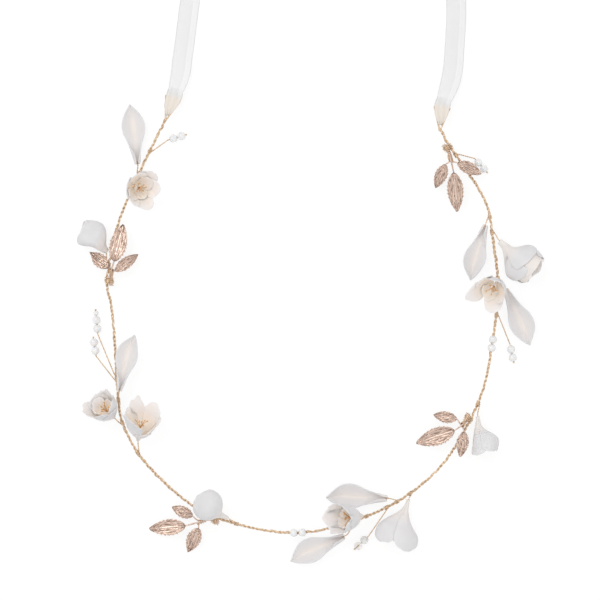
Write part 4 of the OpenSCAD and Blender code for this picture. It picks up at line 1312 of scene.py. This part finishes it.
class CROWN_OT_bindings(bpy.types.Operator):
    """Makes the wire bindings that hold the gold leaves' stalks to the main wire"""

    bl_idname = "crown.bindings"
    bl_label = "Bindings"

    def execute(self, context):
        for name, body, sprays in (
                ("binding_left", "left_arm", (0,)), ("binding_front", "front", (1, 2)),
                ("binding_right", "right_arm", (3,))):
            bm = bmesh.new()
            for i in sprays:
                self.coil(bm, GOLD_SPRAYS[i])
            finish_piece(name + "_coil", bm, [gold_wire()], [name], body)
        return {"FINISHED"}

    def coil(self, bm, spray):
        """An oval coil round the stalks and the main wire."""
        turns, steps = 5, 20
        d = vine_dir(spray[0])
        n = spray[1] * left_of(d)
        wide = (VINE_R + BUNDLE_OFFSET + BUNDLE_R) / 2 + BINDING_GROW - 0.05
        high = BUNDLE_R + BINDING_GROW - 0.2
        middle = vine_at(spray[0]) + (BUNDLE_OFFSET + BUNDLE_R - VINE_R) / 2 * n
        line = []
        for i in range(turns * steps + 1):
            a = 2 * math.pi * i / steps
            s = 2 * i / (turns * steps) - 1
            along = 0.46 * BINDING_L * s + 0.35 * math.cos(a) + 0.2 * math.sin(3.1 * s + spray[0])
            slack = 1 - 0.1 * s * s - 0.07 * noise.noise(Vector((3 * s, spray[0], 0.5)))
            line.append(middle + along * d + slack * wide * math.cos(a) * n
                        + Vector((0, 0, slack * high * math.sin(a))))
        add_tubes(bm, [line, self.lashing(spray)], [BINDING_WIRE_R, LASHING_WIRE_R])

    def lashing(self, spray):
        """The thin wire wound on from the binding along the stalks to their fork."""
        turns, steps = 4, 18
        start, fork = bundle_point(spray, STALK_REACH), on_vine(spray[2])
        way = fork - start
        n = left_of(way)
        up = way.normalized().cross(n)
        line = []
        for i in range(turns * steps + 1):
            s, a = i / (turns * steps), 2 * math.pi * i / steps
            r = BUNDLE_R + 0.05 + 0.1 * math.sin(2.3 * i / steps + spray[0])
            line.append(start + (0.35 + 0.75 * s) * way + r * (math.cos(a) * n + math.sin(a) * up)
                        + 0.7 * math.cos(a) * way.normalized())
        return line


def bead_places(row):
    """Each bead's place along its row, and the row's end."""
    places, s = [], 0.0
    for i, d in enumerate(row[2]):
        places.append(s)
        following = row[2][i + 1] if i + 1 < len(row[2]) else 0
        s += (d + following) / 2 + BEAD_SPACE
    return places, places[-1] + row[2][-1] / 2


def bead_middle(row):
    """The middle of a row's first bead, which lies on the table."""
    return Vector((*row[0], BEAD_D / 2))


class CROWN_OT_sprig_beads(bpy.types.Operator):
    """Makes the beads at the ends of the five sprigs"""

    bl_idname = "crown.sprig_beads"
    bl_label = "Sprig beads"

    def execute(self, context):
        for k, (_, rows) in enumerate(SPRIGS, 1):
            bm = bmesh.new()
            for row in rows:
                way = aim(row[1], 0)
                for i, place in enumerate(bead_places(row)[0]):
                    add_bead(bm, bead_middle(row) + place * way, row[2][i], way,
                             STEM_R + STEM_BORE_PLAY, 1 if i in row[3] else 0)
            name = f"sprig_beads_{k}"
            finish_piece(name + "_glass", bm, [milk_bead(), clear_bead()], [name], f"sprig_{k}")
        return {"FINISHED"}


class CROWN_OT_sprig_wires(bpy.types.Operator):
    """Makes the sprigs' twisted stems, wound on the main wire and knotted after their last bead"""

    bl_idname = "crown.sprig_wires"
    bl_label = "Sprig wires"

    def execute(self, context):
        lead, pitch = 0.6, 2.2
        for k, (t, rows) in enumerate(SPRIGS, 1):
            bm = bmesh.new()
            add_wrap(bm, t, len(rows) * WRAP_L)
            for i, row in enumerate(rows):
                way = aim(row[1], 0)
                elbow = bead_middle(row) - (BEAD_D / 2 + lead) * way
                end = bead_middle(row) + (bead_places(row)[1] + BEAD_SPACE) * way
                start = stem_start(t, elbow, WRAP_L * (i - (len(rows) - 1) / 2))
                add_stem(bm, bent_line(start, elbow, end, lead, STEM_STEP), pitch)
                add_ball(bm, end + 0.3 * way, KNOT_R, 0.8, way)
            name = f"sprig_wire_{k}"
            finish_piece(name + "_twist", bm, [gold_wire()], [name], f"sprig_{k}")
        return {"FINISHED"}


class CROWN_OT_threaded_beads(bpy.types.Operator):
    """Makes the two pairs of beads threaded on the main wire"""

    bl_idname = "crown.threaded_beads"
    bl_label = "Threaded beads"

    def execute(self, context):
        for name, t in (("vine_beads_front", FRONT_BEADS), ("vine_beads_right", RIGHT_BEADS)):
            bm = bmesh.new()
            d = vine_dir(t)
            for side in (-1, 1):
                place = vine_at(t) + side * (BEAD_D + BEAD_SPACE) / 2 * d
                add_bead(bm, place, BEAD_D, d, VINE_R + VINE_BORE_PLAY)
            finish_piece(name + "_glass", bm, [milk_bead()], [name], name)
        return {"FINISHED"}


PIECES = (
    CROWN_OT_stage, CROWN_OT_ribbons, CROWN_OT_main_wire, CROWN_OT_flowers, CROWN_OT_flower_wires,
    CROWN_OT_white_leaves, CROWN_OT_leaf_stems, CROWN_OT_gold_leaves, CROWN_OT_bindings,
    CROWN_OT_sprig_beads, CROWN_OT_sprig_wires, CROWN_OT_threaded_beads,
)


class CROWN_PT_pieces(bpy.types.Panel):
    """Sizes, colours and pieces of the crown"""

    bl_idname = "CROWN_PT_pieces"
    bl_label = "Flower crown"
    bl_space_type = "VIEW_3D"
    bl_region_type = "UI"
    bl_category = "Crown"

    def draw(self, context):
        column = self.layout.column()
        for key in CrownSettings.__annotations__:
            column.prop(context.scene.crown_settings, key)
        for piece in PIECES:
            column.operator(piece.bl_idname)


CLASSES = (CrownSettings, *PIECES, CROWN_PT_pieces)


def register():
    """Makes the crown's classes and settings known."""
    for cls in CLASSES:
        bpy.utils.register_class(cls)
    bpy.types.Scene.crown_settings = PointerProperty(type=CrownSettings)


def unregister():
    """Takes the crown's classes and settings away."""
    del bpy.types.Scene.crown_settings
    for cls in reversed(CLASSES):
        bpy.utils.unregister_class(cls)


def main():
    """Makes every piece in order."""
    register()
    for piece in PIECES:
        group, name = piece.bl_idname.split(".")
        getattr(getattr(bpy.ops, group), name)()
    bpy.context.view_layer.update()


if __name__ == "__main__":
    main()
